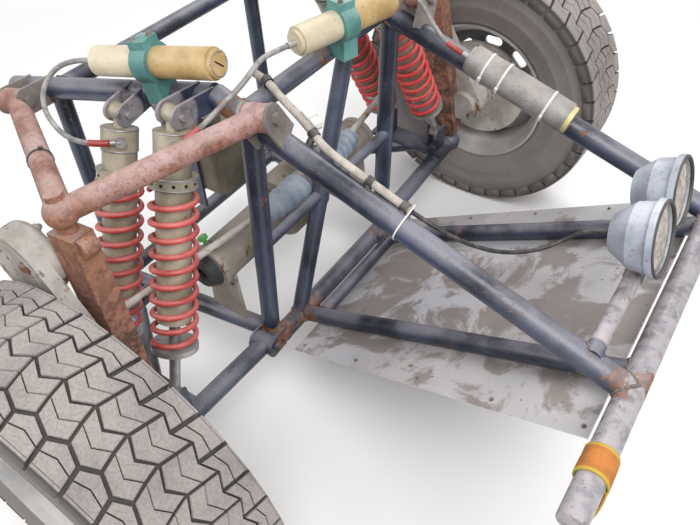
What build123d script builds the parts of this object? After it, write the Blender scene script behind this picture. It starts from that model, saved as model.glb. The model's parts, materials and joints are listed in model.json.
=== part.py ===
import os
from math import atan2, cos, degrees, pi, radians, sin, tan
from build123d import *

os.makedirs("parts", exist_ok=True)

# Front end of a tubular off-road buggy, cut from the cabin behind the suspension.
# Frame: +X forward, +Y to the left, +Z up. The origin is the middle of the cut plane.
# All lengths are in millimetres. Pairs are mirrored about the plane y = 0.

SIDES = (-1, 1)
FIT_GAP = 0.3

# Ground and wheels
WHEEL_X = 608
WHEEL_Y = 775
WHEEL_Z = -138
TYRE_RADIUS = 370
TYRE_WIDTH = 205
RIM_RADIUS = 203
RIM_WIDTH = 180

# Frame tube radii
MAIN_R = 22.5
MAIN_BORE_R = 19.5
UPRIGHT_R = 21
MOUTH_LEN = 60
NOSE_LOWER_R = 19
BRACE_R = 19
BAR_R = 15
RACK_BAR_TUBE_R = 13

# Frame nodes, right-hand side given as the distance from the middle plane
BUMPER_X = 1333
BUMPER_Z = 58
BUMPER_HALF = 500
NOSE_TOP_FRONT_Y = 247
NOSE_TOP_REAR = (510, 236, 314)
NOSE_LOW_FRONT_Y = 206
NOSE_LOW_REAR = (589, 162, -312)
RAIL_UP_REAR = (0, 322, 215)
RAIL_LOW_FRONT = (600, 240, -311)
RAIL_LOW_REAR = (0, 330, -311)
UPPER_CROSS_X = 570
LOWER_CROSS_X = 589
NOSE_CROSS_X = 650
UPRIGHT_TOP_X = 588
UPRIGHT_FOOT_X = 560
BRACE_FOOT_Y = -174
BRACE_TOP_Y = 100
REAR_CROSS_X = 120
LAMP_BAR_X = 1260
LAMP_BAR_Z = 95

# Suspension points
UP_BALL = (490, 580, 282)
UP_FRONT_PIVOT = (640, 268, 330)
UP_REAR_PIVOT = (90, 380, 240)
LOW_BALL = (580, 615, -275)
LOW_FRONT_PIVOT = (580, 292, -300)
LOW_REAR_PIVOT = (200, 352, -305)
ARM_R = 21
LOW_ARM_R = 22
PIVOT_EYE_R = 25
PIVOT_EYE_LEN = 46
PIVOT_BOLT_R = 7
BRACKET_T = 6
BRACKET_HALF = 27
COPE_LEN = 60

# Coilovers: top eye, then bottom eye
SHOCK_FRONT_TOP = (492, 325, 318)
SHOCK_FRONT_LOW = (563, 548, -205)
SHOCK_REAR_TOP = (340, 325, 270)
SHOCK_REAR_LOW = (398, 548, -205)
SPRING_R = 47
SPRING_WIRE_R = 5.75
SPRING_PITCH = 31
SPRING_TURNS = 10
BODY_R = 33
ROD_R = 11
EYE_R = 17
EYE_LEN = 28

# Steering
RACK_X = 525
RACK_Z = -20
TIE_END = (448, 595, -50)
RACK_HALF = 50
BOOT_LEN = 137
TIE_ROD_R = 8
TIE_PIN_R = 6.5
TIE_INNER_Y = 98
TIE_DRIFT = 4.5
RACK_END = 85
STEER_LOCK = 25

# Lamps
LAMP_R = 63
LAMP_DEPTH = 78
LAMP_TILT = 17
LAMP_PLACES = ((1279, -30, 185), (1272, 114, 180))


def at(point, side):
    return Vector(point[0], side * point[1], point[2])


def run_plane(start, end):
    return Plane(origin=start, z_dir=end - start)


def rod(start, end, radius, bore=0, mode=Mode.ADD):
    with BuildSketch(run_plane(start, end)) as ring:
        Circle(radius)
        if bore:
            Circle(bore, mode=Mode.SUBTRACT)
    extrude(ring.sketch, amount=(end - start).length, mode=mode)


def along(start, end, distance):
    return start + (end - start).normalized() * distance


def between(start, end, share):
    return start + (end - start) * share


# Frame end points used by several pieces
nose_top_front = (BUMPER_X, NOSE_TOP_FRONT_Y, BUMPER_Z)
nose_low_front = (BUMPER_X, NOSE_LOW_FRONT_Y, BUMPER_Z)
bumper_right = Vector(BUMPER_X, -BUMPER_HALF, BUMPER_Z)
bumper_left = Vector(BUMPER_X, BUMPER_HALF, BUMPER_Z)


def nose_top_at(x):
    share = (x - NOSE_TOP_REAR[0]) / (BUMPER_X - NOSE_TOP_REAR[0])
    y = NOSE_TOP_REAR[1] + share * (NOSE_TOP_FRONT_Y - NOSE_TOP_REAR[1])
    z = NOSE_TOP_REAR[2] + share * (BUMPER_Z - NOSE_TOP_REAR[2])
    return (x, y, z)


def rail_up_at(x):
    share = x / NOSE_TOP_REAR[0]
    y = RAIL_UP_REAR[1] + share * (NOSE_TOP_REAR[1] - RAIL_UP_REAR[1])
    z = RAIL_UP_REAR[2] + share * (NOSE_TOP_REAR[2] - RAIL_UP_REAR[2])
    return (x, y, z)


def rail_low_at(x):
    share = x / RAIL_LOW_FRONT[0]
    y = RAIL_LOW_REAR[1] + share * (RAIL_LOW_FRONT[1] - RAIL_LOW_REAR[1])
    return (x, y, RAIL_LOW_REAR[2])


def nose_low_at(x):
    share = (x - NOSE_LOW_REAR[0]) / (BUMPER_X - NOSE_LOW_REAR[0])
    y = NOSE_LOW_REAR[1] + share * (NOSE_LOW_FRONT_Y - NOSE_LOW_REAR[1])
    z = NOSE_LOW_REAR[2] + share * (BUMPER_Z - NOSE_LOW_REAR[2])
    return (x, y, z)


# Bumper: one cross tube that runs outboard past the nose, closed at both ends
with BuildPart() as bumper_tube:
    rod(bumper_right, bumper_left, MAIN_R)
    fillet(bumper_tube.edges().filter_by(GeomType.CIRCLE), 4)
bumper_tube.part.label = "bumper_tube"
export_step(bumper_tube.part, "parts/bumper_tube.step")

# Upper nose tubes: from the bumper up to the shock rails
with BuildPart() as nose_tubes_upper:
    for side in SIDES:
        rod(at(NOSE_TOP_REAR, side), at(nose_top_front, side), MAIN_R)
    rod(bumper_right, bumper_left, MAIN_R, mode=Mode.SUBTRACT)
nose_tubes_upper.part.label = "nose_tubes_upper"
export_step(nose_tubes_upper.part, "parts/nose_tubes_upper.step")

# Upper rails: carry the coilovers and the upper arms, open where they are cut
with BuildPart() as upper_rails:
    for side in SIDES:
        rear = at(RAIL_UP_REAR, side)
        front = at(NOSE_TOP_REAR, side)
        rod(rear, front, MAIN_R)
        rod(rear, along(rear, front, MOUTH_LEN), MAIN_BORE_R, mode=Mode.SUBTRACT)
    for side in SIDES:
        rod(at(NOSE_TOP_REAR, side), at(nose_top_front, side), MAIN_R, mode=Mode.SUBTRACT)
upper_rails.part.label = "upper_rails"
export_step(upper_rails.part, "parts/upper_rails.step")

# Lower cross tube at the foot of the nose
cross_end = (LOWER_CROSS_X, RAIL_LOW_FRONT[1], RAIL_LOW_FRONT[2])
CORNER_R = MAIN_R + 1.5
lower_cross_right = at(cross_end, -1)
lower_cross_left = at(cross_end, 1)
with BuildPart() as lower_cross_tube:
    rod(lower_cross_right, lower_cross_left, MAIN_R)
    for side in SIDES:
        with Locations(at(cross_end, side)):
            Sphere(CORNER_R)
lower_cross_tube.part.label = "lower_cross_tube"
export_step(lower_cross_tube.part, "parts/lower_cross_tube.step")

# Lower nose tubes: thinner, rising from the lower cross tube to the bumper
with BuildPart() as nose_tubes_lower:
    for side in SIDES:
        rod(at(NOSE_LOW_REAR, side), at(nose_low_front, side), NOSE_LOWER_R)
    rod(bumper_right, bumper_left, MAIN_R, mode=Mode.SUBTRACT)
    rod(lower_cross_right, lower_cross_left, MAIN_R, mode=Mode.SUBTRACT)
    for side in SIDES:
        rod(at(NOSE_TOP_REAR, side), at(nose_top_front, side), MAIN_R, mode=Mode.SUBTRACT)
nose_tubes_lower.part.label = "nose_tubes_lower"
export_step(nose_tubes_lower.part, "parts/nose_tubes_lower.step")

# Lower rails: run back from the joint to the cut
with BuildPart() as lower_rails:
    for side in SIDES:
        rear = at(RAIL_LOW_REAR, side)
        front = at(RAIL_LOW_FRONT, side)
        rod(rear, front, MAIN_R)
        rod(rear, along(rear, front, MOUTH_LEN), MAIN_BORE_R, mode=Mode.SUBTRACT)
    for side in SIDES:
        with Locations(at(cross_end, side)):
            Sphere(CORNER_R, mode=Mode.SUBTRACT)
    rod(lower_cross_right, lower_cross_left, MAIN_R, mode=Mode.SUBTRACT)
lower_rails.part.label = "lower_rails"
export_step(lower_rails.part, "parts/lower_rails.step")

# Cross tubes: one under the second reservoir, one on the ramp, two near the cut
CROSS_TABLE = (
    {"x": UPPER_CROSS_X, "place": nose_top_at, "radius": BRACE_R},
    {"x": NOSE_CROSS_X, "place": nose_low_at, "radius": BAR_R},
    {"x": REAR_CROSS_X, "place": rail_up_at, "radius": BRACE_R},
    {"x": REAR_CROSS_X, "place": rail_low_at, "radius": BRACE_R},
)
with BuildPart() as cross_tubes:
    for row in CROSS_TABLE:
        centre = row["place"](row["x"])
        rod(at(centre, -1), at(centre, 1), row["radius"])
    for side in SIDES:
        rod(at(NOSE_TOP_REAR, side), at(nose_top_front, side), MAIN_R, mode=Mode.SUBTRACT)
        rod(at(RAIL_UP_REAR, side), at(NOSE_TOP_REAR, side), MAIN_R, mode=Mode.SUBTRACT)
        rod(at(RAIL_LOW_REAR, side), at(RAIL_LOW_FRONT, side), MAIN_R, mode=Mode.SUBTRACT)
        rod(at(NOSE_LOW_REAR, side), at(nose_low_front, side), NOSE_LOWER_R, mode=Mode.SUBTRACT)
cross_tubes.part.label = "cross_tubes"
export_step(cross_tubes.part, "parts/cross_tubes.step")

# Uprights at the upper arm brackets, and a second pair near the cut
upright_top = nose_top_at(UPRIGHT_TOP_X)
upright_foot = rail_low_at(UPRIGHT_FOOT_X)
with BuildPart() as uprights:
    for side in SIDES:
        rod(at(upright_foot, side), at(upright_top, side), UPRIGHT_R)
        rod(at(rail_low_at(REAR_CROSS_X), side), at(rail_up_at(REAR_CROSS_X), side), BRACE_R)
    for side in SIDES:
        rod(at(NOSE_TOP_REAR, side), at(nose_top_front, side), MAIN_R, mode=Mode.SUBTRACT)
        rod(at(RAIL_UP_REAR, side), at(NOSE_TOP_REAR, side), MAIN_R, mode=Mode.SUBTRACT)
        rod(at(RAIL_LOW_REAR, side), at(RAIL_LOW_FRONT, side), MAIN_R, mode=Mode.SUBTRACT)
        with Locations(at(cross_end, side)):
            Sphere(CORNER_R, mode=Mode.SUBTRACT)
    rod(lower_cross_right, lower_cross_left, MAIN_R, mode=Mode.SUBTRACT)
    for row in CROSS_TABLE:
        centre = row["place"](row["x"])
        rod(at(centre, -1), at(centre, 1), row["radius"], mode=Mode.SUBTRACT)
uprights.part.label = "uprights"
export_step(uprights.part, "parts/uprights.step")

# Front brace: one diagonal from the foot of the nose to the upper cross tube
brace_foot = Vector(LOWER_CROSS_X, BRACE_FOOT_Y, RAIL_LOW_FRONT[2])
brace_top = Vector(UPPER_CROSS_X, BRACE_TOP_Y, nose_top_at(UPPER_CROSS_X)[2])
with BuildPart() as front_brace:
    rod(brace_foot, brace_top, BRACE_R)
    rod(lower_cross_right, lower_cross_left, MAIN_R, mode=Mode.SUBTRACT)
    for row in CROSS_TABLE:
        centre = row["place"](row["x"])
        rod(at(centre, -1), at(centre, 1), row["radius"], mode=Mode.SUBTRACT)
    for side in SIDES:
        rod(at(NOSE_LOW_REAR, side), at(nose_low_front, side), NOSE_LOWER_R, mode=Mode.SUBTRACT)
front_brace.part.label = "front_brace"
export_step(front_brace.part, "parts/front_brace.step")

# Rack carrier: a thin tube between the uprights, cut by the brace, with two saddles for the rack
carrier_x = between(brace_foot, brace_top, (RACK_Z - brace_foot.Z) / (brace_top.Z - brace_foot.Z)).X
carrier_y = RAIL_LOW_FRONT[1]
SADDLE_Y = 29
SADDLE_W = 16
SADDLE_H = 30
SADDLE_WALL = 6
RACK_TUBE_R = 27
with BuildPart() as rack_carrier:
    rod(Vector(carrier_x, -carrier_y, RACK_Z), Vector(carrier_x, carrier_y, RACK_Z), RACK_BAR_TUBE_R)
    for side in SIDES:
        with Locations(((carrier_x + RACK_X) / 2, side * SADDLE_Y, RACK_Z)):
            Box(carrier_x - RACK_X, SADDLE_W, SADDLE_H)
        with Locations(Location((RACK_X, side * SADDLE_Y, RACK_Z), (90, 0, 0))):
            Cylinder(RACK_TUBE_R + SADDLE_WALL, SADDLE_W)
    rod(Vector(RACK_X, -RACK_HALF, RACK_Z), Vector(RACK_X, RACK_HALF, RACK_Z),
        RACK_TUBE_R, mode=Mode.SUBTRACT)
    rod(brace_foot, brace_top, BRACE_R, mode=Mode.SUBTRACT)
    for side in SIDES:
        rod(at(upright_foot, side), at(upright_top, side), UPRIGHT_R, mode=Mode.SUBTRACT)
rack_carrier.part.label = "rack_carrier"
export_step(rack_carrier.part, "parts/rack_carrier.step")

# Drive housing: a cross tube with a drum in the middle and a ring at each open end,
# where the drive shafts are missing
HOUSING_X = 450
HOUSING_Z = -116
HOUSING_R = 50
HOUSING_HALF = 300
DRUM_R = 78
DRUM_HALF = 58
RING_R = 56
RING_LEN = 15
SEAL_LEN = 22
SEAL_R = 45
SEAL_END_R = 33
SEAL_BORE_R = 17


def housing_rod(start_y, end_y, radius, mode=Mode.ADD):
    rod(Vector(HOUSING_X, start_y, HOUSING_Z), Vector(HOUSING_X, end_y, HOUSING_Z), radius, mode=mode)


with BuildPart() as drive_housing:
    housing_rod(-HOUSING_HALF, HOUSING_HALF, HOUSING_R)
    housing_rod(-DRUM_HALF, DRUM_HALF, DRUM_R)
    for side in SIDES:
        housing_rod(side * (HOUSING_HALF - RING_LEN), side * HOUSING_HALF, RING_R)
drive_housing.part.label = "drive_housing"
export_step(drive_housing.part, "parts/drive_housing.step")

with BuildPart() as housing_seals:
    for side in SIDES:
        rims = []
        for distance, radius in ((0, SEAL_R), (SEAL_LEN, SEAL_END_R)):
            seat = Plane(origin=(HOUSING_X, side * (HOUSING_HALF + distance), HOUSING_Z), x_dir=(1, 0, 0),
                         z_dir=(0, side, 0))
            with BuildSketch(seat) as rim:
                Circle(radius)
                Circle(SEAL_BORE_R, mode=Mode.SUBTRACT)
            rims.append(rim.sketch)
        loft(rims, ruled=True)
housing_seals.part.label = "housing_seals"
export_step(housing_seals.part, "parts/housing_seals.step")

# Housing cradle: a tapered plate on each lower rail
CRADLE_T = 8
CRADLE_FOOT_HALF = 52
CRADLE_TOP_HALF = 40
cradle_y = rail_low_at(HOUSING_X)[1]
with BuildPart() as housing_cradle:
    for side in SIDES:
        with BuildSketch(Plane(origin=(HOUSING_X, side * cradle_y, 0), x_dir=(1, 0, 0), z_dir=(0, 1, 0))):
            with BuildLine():
                Polyline((-CRADLE_FOOT_HALF, -RAIL_LOW_REAR[2]), (CRADLE_FOOT_HALF, -RAIL_LOW_REAR[2]),
                         (CRADLE_TOP_HALF, -HOUSING_Z), (-CRADLE_TOP_HALF, -HOUSING_Z), close=True)
            make_face()
        extrude(amount=CRADLE_T / 2, both=True)
    housing_rod(-HOUSING_HALF, HOUSING_HALF, HOUSING_R, mode=Mode.SUBTRACT)
    for side in SIDES:
        rod(at(RAIL_LOW_REAR, side), at(RAIL_LOW_FRONT, side), MAIN_R, mode=Mode.SUBTRACT)
housing_cradle.part.label = "housing_cradle"
export_step(housing_cradle.part, "parts/housing_cradle.step")

# Steering rack housing: a tube with a pinion tower and its shaft stub
RACK_BAR_R = 11
RACK_SLOT_R = RACK_BAR_R + FIT_GAP
with BuildPart() as steering_rack_housing:
    rod(Vector(RACK_X, -RACK_HALF, RACK_Z), Vector(RACK_X, RACK_HALF, RACK_Z), RACK_TUBE_R)
    with Locations(Location((RACK_X - 34, 0, RACK_Z + 22), (0, -60, 0))):
        Cylinder(20, 70)
        Cylinder(9, 150)
    rod(Vector(RACK_X, -RACK_HALF, RACK_Z), Vector(RACK_X, RACK_HALF, RACK_Z),
        RACK_SLOT_R, mode=Mode.SUBTRACT)
steering_rack_housing.part.label = "steering_rack_housing"
export_step(steering_rack_housing.part, "parts/steering_rack_housing.step")

# Rubber boots: folded cones that lean with the tie rods, open at the small end
BOOT_ROOT_R = 34
BOOT_NECK_R = 24
BOOT_WALL = 2.5
BOOT_FOLDS = 5
BOOT_SLEEVE = 12
king_low = Vector(*LOW_BALL)
king_top = Vector(*UP_BALL)
king_axis = (king_top - king_low).normalized()
TIE_HEAD_RISE = 26
tie_head = Vector(*TIE_END) + king_axis * TIE_HEAD_RISE
tie_inner = Vector(RACK_X - TIE_DRIFT, TIE_INNER_Y, RACK_Z)
lean_x = (tie_head.X - tie_inner.X) / (tie_head.Y - tie_inner.Y)
lean_z = (tie_head.Z - tie_inner.Z) / (tie_head.Y - tie_inner.Y)
boot_start = RACK_HALF - BOOT_SLEEVE

# The tie rod swings as the wheels turn, so the boot's small end sits in the middle of that sweep
king_share = (TIE_END[2] - LOW_BALL[2]) / (UP_BALL[2] - LOW_BALL[2])
steer_arm = (Vector(*TIE_END) - between(king_low, king_top, king_share)).length
rod_drift = steer_arm * (1 - cos(radians(STEER_LOCK)))
rod_slide = steer_arm * sin(radians(STEER_LOCK))
neck_y = boot_start + BOOT_LEN
rod_neck_x = tie_inner.X + lean_x * (neck_y - tie_inner.Y)
sweep_middle = rod_neck_x + (rod_drift - lean_x * rod_slide) / 2
boot_lean = (sweep_middle - RACK_X) / (BOOT_LEN - BOOT_SLEEVE)


def boot_ring(distance, radius, side):
    past = max(distance - BOOT_SLEEVE, 0)
    centre = (RACK_X + boot_lean * past, side * (boot_start + distance), RACK_Z + lean_z * past)
    with BuildSketch(Plane(origin=centre, x_dir=(1, 0, 0), z_dir=(0, side, 0))) as ring:
        Circle(radius)
    return ring.sketch


fold_len = (BOOT_LEN - BOOT_SLEEVE - 6) / BOOT_FOLDS
boot_stations = [(0, BOOT_ROOT_R), (BOOT_SLEEVE, BOOT_ROOT_R)]
for fold in range(BOOT_FOLDS):
    fold_r = BOOT_ROOT_R + (BOOT_NECK_R - BOOT_ROOT_R) * (fold + 1) / BOOT_FOLDS
    boot_stations.append((BOOT_SLEEVE + (fold + 0.5) * fold_len, fold_r + 4))
    boot_stations.append((BOOT_SLEEVE + (fold + 1) * fold_len, fold_r))
boot_stations.append((BOOT_LEN, BOOT_NECK_R))
with BuildPart() as rack_boots:
    for side in SIDES:
        for here, there in zip(boot_stations[:-1], boot_stations[1:]):
            loft([boot_ring(here[0], here[1], side), boot_ring(there[0], there[1], side)], ruled=True)
        loft([boot_ring(0, RACK_TUBE_R, side), boot_ring(BOOT_SLEEVE, RACK_TUBE_R, side)],
             ruled=True, mode=Mode.SUBTRACT)
        loft([boot_ring(BOOT_SLEEVE, BOOT_ROOT_R - 3, side), boot_ring(BOOT_LEN, BOOT_NECK_R - BOOT_WALL, side)],
             ruled=True, mode=Mode.SUBTRACT)
rack_boots.part.label = "rack_boots"
export_step(rack_boots.part, "parts/rack_boots.step")

# Skid plate: a bare ramp under the lower nose tubes, wider at the front
ramp_rise = BUMPER_Z - NOSE_LOW_REAR[2]
ramp_run = BUMPER_X - NOSE_LOW_REAR[0]
ramp_angle = degrees(atan2(ramp_rise, ramp_run))
SKID_T = 4
SKID_REAR_X = 640
SKID_FRONT_X = 1296
SKID_REAR_HALF = 268
SKID_FRONT_HALF = 338
ramp_plane = Plane(origin=(NOSE_LOW_REAR[0], 0, NOSE_LOW_REAR[2]),
                   x_dir=(ramp_run, 0, ramp_rise), z_dir=(-ramp_rise, 0, ramp_run))
slope_length = (ramp_run ** 2 + ramp_rise ** 2) ** 0.5 / ramp_run
skid_rear_u = (SKID_REAR_X - NOSE_LOW_REAR[0]) * slope_length
skid_front_u = (SKID_FRONT_X - NOSE_LOW_REAR[0]) * slope_length
with BuildPart() as skid_plate:
    with BuildSketch(ramp_plane.offset(-NOSE_LOWER_R - SKID_T)):
        with BuildLine():
            Polyline((skid_rear_u, -SKID_REAR_HALF), (skid_front_u, -SKID_FRONT_HALF),
                     (skid_front_u, SKID_FRONT_HALF), (skid_rear_u, SKID_REAR_HALF), close=True)
        make_face()
    extrude(amount=SKID_T)
skid_plate.part.label = "skid_plate"
export_step(skid_plate.part, "parts/skid_plate.step")

# Lamp bar: a thin cross tube between the nose tubes with open ends
with BuildPart() as lamp_bar:
    rod(Vector(LAMP_BAR_X, -NOSE_TOP_FRONT_Y, LAMP_BAR_Z), Vector(LAMP_BAR_X, NOSE_TOP_FRONT_Y, LAMP_BAR_Z),
        BAR_R, BAR_R - 2.5)
    for side in SIDES:
        rod(at(NOSE_TOP_REAR, side), at(nose_top_front, side), MAIN_R, mode=Mode.SUBTRACT)
lamp_bar.part.label = "lamp_bar"
export_step(lamp_bar.part, "parts/lamp_bar.step")

# Lamps: round bowls tipped upwards, a glass lens in each rim and a foot on the bar
LENS_T = 6
RIM_T = 5


def lamp_location(place):
    return Location(place, (0, 90 - LAMP_TILT, 0))


with BuildPart() as lamp_bowls:
    for place in LAMP_PLACES:
        with BuildSketch(Plane(lamp_location(place)).offset(-LAMP_DEPTH)):
            Circle(LAMP_R * 0.55)
        with BuildSketch(Plane(lamp_location(place)).offset(-LAMP_DEPTH * 0.55)):
            Circle(LAMP_R * 0.93)
        loft(ruled=True)
        with BuildSketch(Plane(lamp_location(place)).offset(-LAMP_DEPTH * 0.55)):
            Circle(LAMP_R * 0.93)
        with BuildSketch(Plane(lamp_location(place))):
            Circle(LAMP_R)
        loft(ruled=True)
        with BuildSketch(Plane(lamp_location(place)).offset(-9)):
            Circle(LAMP_R + RIM_T)
        extrude(amount=11)
        with BuildSketch(Plane(lamp_location(place)).offset(-LENS_T)):
            Circle(LAMP_R - 3)
        extrude(amount=30, mode=Mode.SUBTRACT)
lamp_bowls.part.label = "lamp_bowls"
export_step(lamp_bowls.part, "parts/lamp_bowls.step")

with BuildPart() as lamp_lenses:
    for place in LAMP_PLACES:
        with BuildSketch(Plane(lamp_location(place)).offset(-LENS_T)):
            Circle(LAMP_R - 3)
        extrude(amount=LENS_T, taper=8)
lamp_lenses.part.label = "lamp_lenses"
export_step(lamp_lenses.part, "parts/lamp_lenses.step")

with BuildPart() as lamp_feet:
    for place in LAMP_PLACES:
        with Locations((LAMP_BAR_X, place[1], LAMP_BAR_Z + 9)):
            Box(34, 26, 36)
    for place in LAMP_PLACES:
        with BuildSketch(Plane(lamp_location(place)).offset(-LAMP_DEPTH)):
            Circle(LAMP_R * 0.55)
        with BuildSketch(Plane(lamp_location(place)).offset(-LAMP_DEPTH * 0.55)):
            Circle(LAMP_R * 0.93)
        loft(ruled=True, mode=Mode.SUBTRACT)
        with BuildSketch(Plane(lamp_location(place)).offset(-LAMP_DEPTH * 0.55)):
            Circle(LAMP_R * 0.93)
        with BuildSketch(Plane(lamp_location(place))):
            Circle(LAMP_R)
        loft(ruled=True, mode=Mode.SUBTRACT)
        with BuildSketch(Plane(lamp_location(place)).offset(-9)):
            Circle(LAMP_R + RIM_T)
        extrude(amount=11, mode=Mode.SUBTRACT)
    rod(Vector(LAMP_BAR_X, -NOSE_TOP_FRONT_Y, LAMP_BAR_Z), Vector(LAMP_BAR_X, NOSE_TOP_FRONT_Y, LAMP_BAR_Z),
        BAR_R, mode=Mode.SUBTRACT)
lamp_feet.part.label = "lamp_feet"
export_step(lamp_feet.part, "parts/lamp_feet.step")


# Suspension arms: two tubes that meet at the ball joint, with a round eye at each pivot
def arm(ball, front, rear, radius, side):
    tip = at(ball, side)
    front_eye = at(front, side)
    rear_eye = at(rear, side)
    axle = (rear_eye - front_eye).normalized()
    rod(front_eye, tip, radius)
    rod(rear_eye, tip, radius)
    with Locations(tip):
        Sphere(radius * 1.35)
    for eye in (front_eye, rear_eye):
        rod(eye - axle * (PIVOT_EYE_LEN / 2), eye + axle * (PIVOT_EYE_LEN / 2), PIVOT_EYE_R)
    for eye in (front_eye, rear_eye):
        rod(eye - axle * PIVOT_EYE_LEN, eye + axle * PIVOT_EYE_LEN, PIVOT_BOLT_R, mode=Mode.SUBTRACT)
        for step in (-1, 1):
            face = eye + axle * step * (PIVOT_EYE_LEN / 2)
            rod(face, face + axle * step * COPE_LEN, BRACKET_HALF + 2, mode=Mode.SUBTRACT)


KING_R = 15
KING_HEAD_R = 24
KING_BORE_R = KING_R + FIT_GAP

with BuildPart() as upper_arms:
    for side in SIDES:
        arm(UP_BALL, UP_FRONT_PIVOT, UP_REAR_PIVOT, ARM_R, side)
    for side in SIDES:
        axis = Vector(king_axis.X, side * king_axis.Y, king_axis.Z)
        tip = at(UP_BALL, side)
        rod(tip - axis * 60, tip + axis * 60, KING_BORE_R, mode=Mode.SUBTRACT)
upper_arms.part.label = "upper_arms"
export_step(upper_arms.part, "parts/upper_arms.step")

# Lower arms also carry a bridge plate for the two coilovers
BRIDGE_T = 10
BRIDGE_HALF = 32
with BuildPart() as lower_arms:
    for side in SIDES:
        arm(LOW_BALL, LOW_FRONT_PIVOT, LOW_REAR_PIVOT, LOW_ARM_R, side)
    bridge_z = LOW_BALL[2] + 12
    for side in SIDES:
        with Locations(((SHOCK_FRONT_LOW[0] + SHOCK_REAR_LOW[0]) / 2, side * (SHOCK_FRONT_LOW[1] - 8), bridge_z)):
            Box(SHOCK_FRONT_LOW[0] - SHOCK_REAR_LOW[0] + 78, 2 * BRIDGE_HALF, BRIDGE_T)
    for side in SIDES:
        for low in (SHOCK_FRONT_LOW, SHOCK_REAR_LOW):
            for step in (-1, 1):
                with Locations((low[0] + step * (EYE_LEN / 2 + 4), side * low[1], (low[2] + bridge_z) / 2 + 6)):
                    Box(7, 34, low[2] - bridge_z + 26)
    for side in SIDES:
        axis = Vector(king_axis.X, side * king_axis.Y, king_axis.Z)
        tip = at(LOW_BALL, side)
        rod(tip - axis * 60, tip + axis * 60, KING_BORE_R, mode=Mode.SUBTRACT)
lower_arms.part.label = "lower_arms"
export_step(lower_arms.part, "parts/lower_arms.step")

# Pivot brackets: clevis plates on the frame with a bolt through each eye
BRACKET_TABLE = (
    {"pivot": UP_FRONT_PIVOT, "mate": UP_REAR_PIVOT, "seat": nose_top_at(UP_FRONT_PIVOT[0]), "node": "upper"},
    {"pivot": UP_REAR_PIVOT, "mate": UP_FRONT_PIVOT, "seat": rail_up_at(UP_REAR_PIVOT[0]), "node": "upper"},
    {"pivot": LOW_FRONT_PIVOT, "mate": LOW_REAR_PIVOT, "seat": rail_low_at(LOW_FRONT_PIVOT[0]), "node": "lower"},
    {"pivot": LOW_REAR_PIVOT, "mate": LOW_FRONT_PIVOT, "seat": rail_low_at(LOW_REAR_PIVOT[0]), "node": "lower"},
)


def clevis(pivot, mate, seat, side):
    eye = at(pivot, side)
    axle = (at(mate, side) - eye).normalized()
    foot = at(seat, side)
    reach = (foot - eye) - axle * (foot - eye).dot(axle)
    reach_dir = reach.normalized()
    for step in (-1, 1):
        base = eye + axle * step * (PIVOT_EYE_LEN / 2 + FIT_GAP + (BRACKET_T if step < 0 else 0))
        plane = Plane(origin=base, x_dir=reach_dir, z_dir=axle)
        with BuildSketch(plane) as cheek:
            Circle(BRACKET_HALF)
            with Locations((reach.length / 2, 0)):
                Rectangle(reach.length, 2 * BRACKET_HALF)
        extrude(cheek.sketch, amount=BRACKET_T)
    half = PIVOT_EYE_LEN / 2 + BRACKET_T + 10
    rod(eye - axle * half, eye + axle * half, PIVOT_BOLT_R - FIT_GAP)
    for step in (-1, 1):
        head = eye + axle * step * (PIVOT_EYE_LEN / 2 + FIT_GAP + BRACKET_T)
        with BuildSketch(Plane(origin=head, z_dir=axle * step)) as hexagon:
            RegularPolygon(11, 6)
        extrude(hexagon.sketch, amount=9)


def cut_frame_tubes():
    for side in SIDES:
        rod(at(NOSE_TOP_REAR, side), at(nose_top_front, side), MAIN_R, mode=Mode.SUBTRACT)
        rod(at(RAIL_UP_REAR, side), at(NOSE_TOP_REAR, side), MAIN_R, mode=Mode.SUBTRACT)
        rod(at(RAIL_LOW_REAR, side), at(RAIL_LOW_FRONT, side), MAIN_R, mode=Mode.SUBTRACT)
        rod(at(upright_foot, side), at(upright_top, side), UPRIGHT_R, mode=Mode.SUBTRACT)
        rod(at(rail_low_at(REAR_CROSS_X), side), at(rail_up_at(REAR_CROSS_X), side), BRACE_R,
            mode=Mode.SUBTRACT)
        with Locations(at(cross_end, side)):
            Sphere(CORNER_R, mode=Mode.SUBTRACT)
    rod(lower_cross_right, lower_cross_left, MAIN_R, mode=Mode.SUBTRACT)
    for row in CROSS_TABLE:
        centre = row["place"](row["x"])
        rod(at(centre, -1), at(centre, 1), row["radius"], mode=Mode.SUBTRACT)


with BuildPart() as upper_arm_brackets:
    for row in BRACKET_TABLE[:2]:
        for side in SIDES:
            clevis(row["pivot"], row["mate"], row["seat"], side)
    cut_frame_tubes()
upper_arm_brackets.part.label = "upper_arm_brackets"
export_step(upper_arm_brackets.part, "parts/upper_arm_brackets.step")

with BuildPart() as lower_arm_brackets:
    for row in BRACKET_TABLE[2:]:
        for side in SIDES:
            clevis(row["pivot"], row["mate"], row["seat"], side)
    cut_frame_tubes()
lower_arm_brackets.part.label = "lower_arm_brackets"
export_step(lower_arm_brackets.part, "parts/lower_arm_brackets.step")

# Coilovers: threaded bodies with a collar and head, rods, and red springs around them
SHOCK_TABLE = (
    {"name": "front", "top": SHOCK_FRONT_TOP, "low": SHOCK_FRONT_LOW},
    {"name": "rear", "top": SHOCK_REAR_TOP, "low": SHOCK_REAR_LOW},
)
HEAD_R = 35
HEAD_START = 28
HEAD_LEN = 42
BODY_LEN = 400
COLLAR_START = 108
COLLAR_LEN = 22
COLLAR_R = 43
SPRING_START = COLLAR_START + COLLAR_LEN
SPRING_LEN = SPRING_PITCH * SPRING_TURNS + 2 * SPRING_WIRE_R
SEAT_T = 12


def eye_barrel(centre, radius, length):
    with BuildSketch(Plane(origin=centre - Vector(length / 2, 0, 0), z_dir=(1, 0, 0))) as ring:
        Circle(radius)
    extrude(ring.sketch, amount=length)


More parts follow.
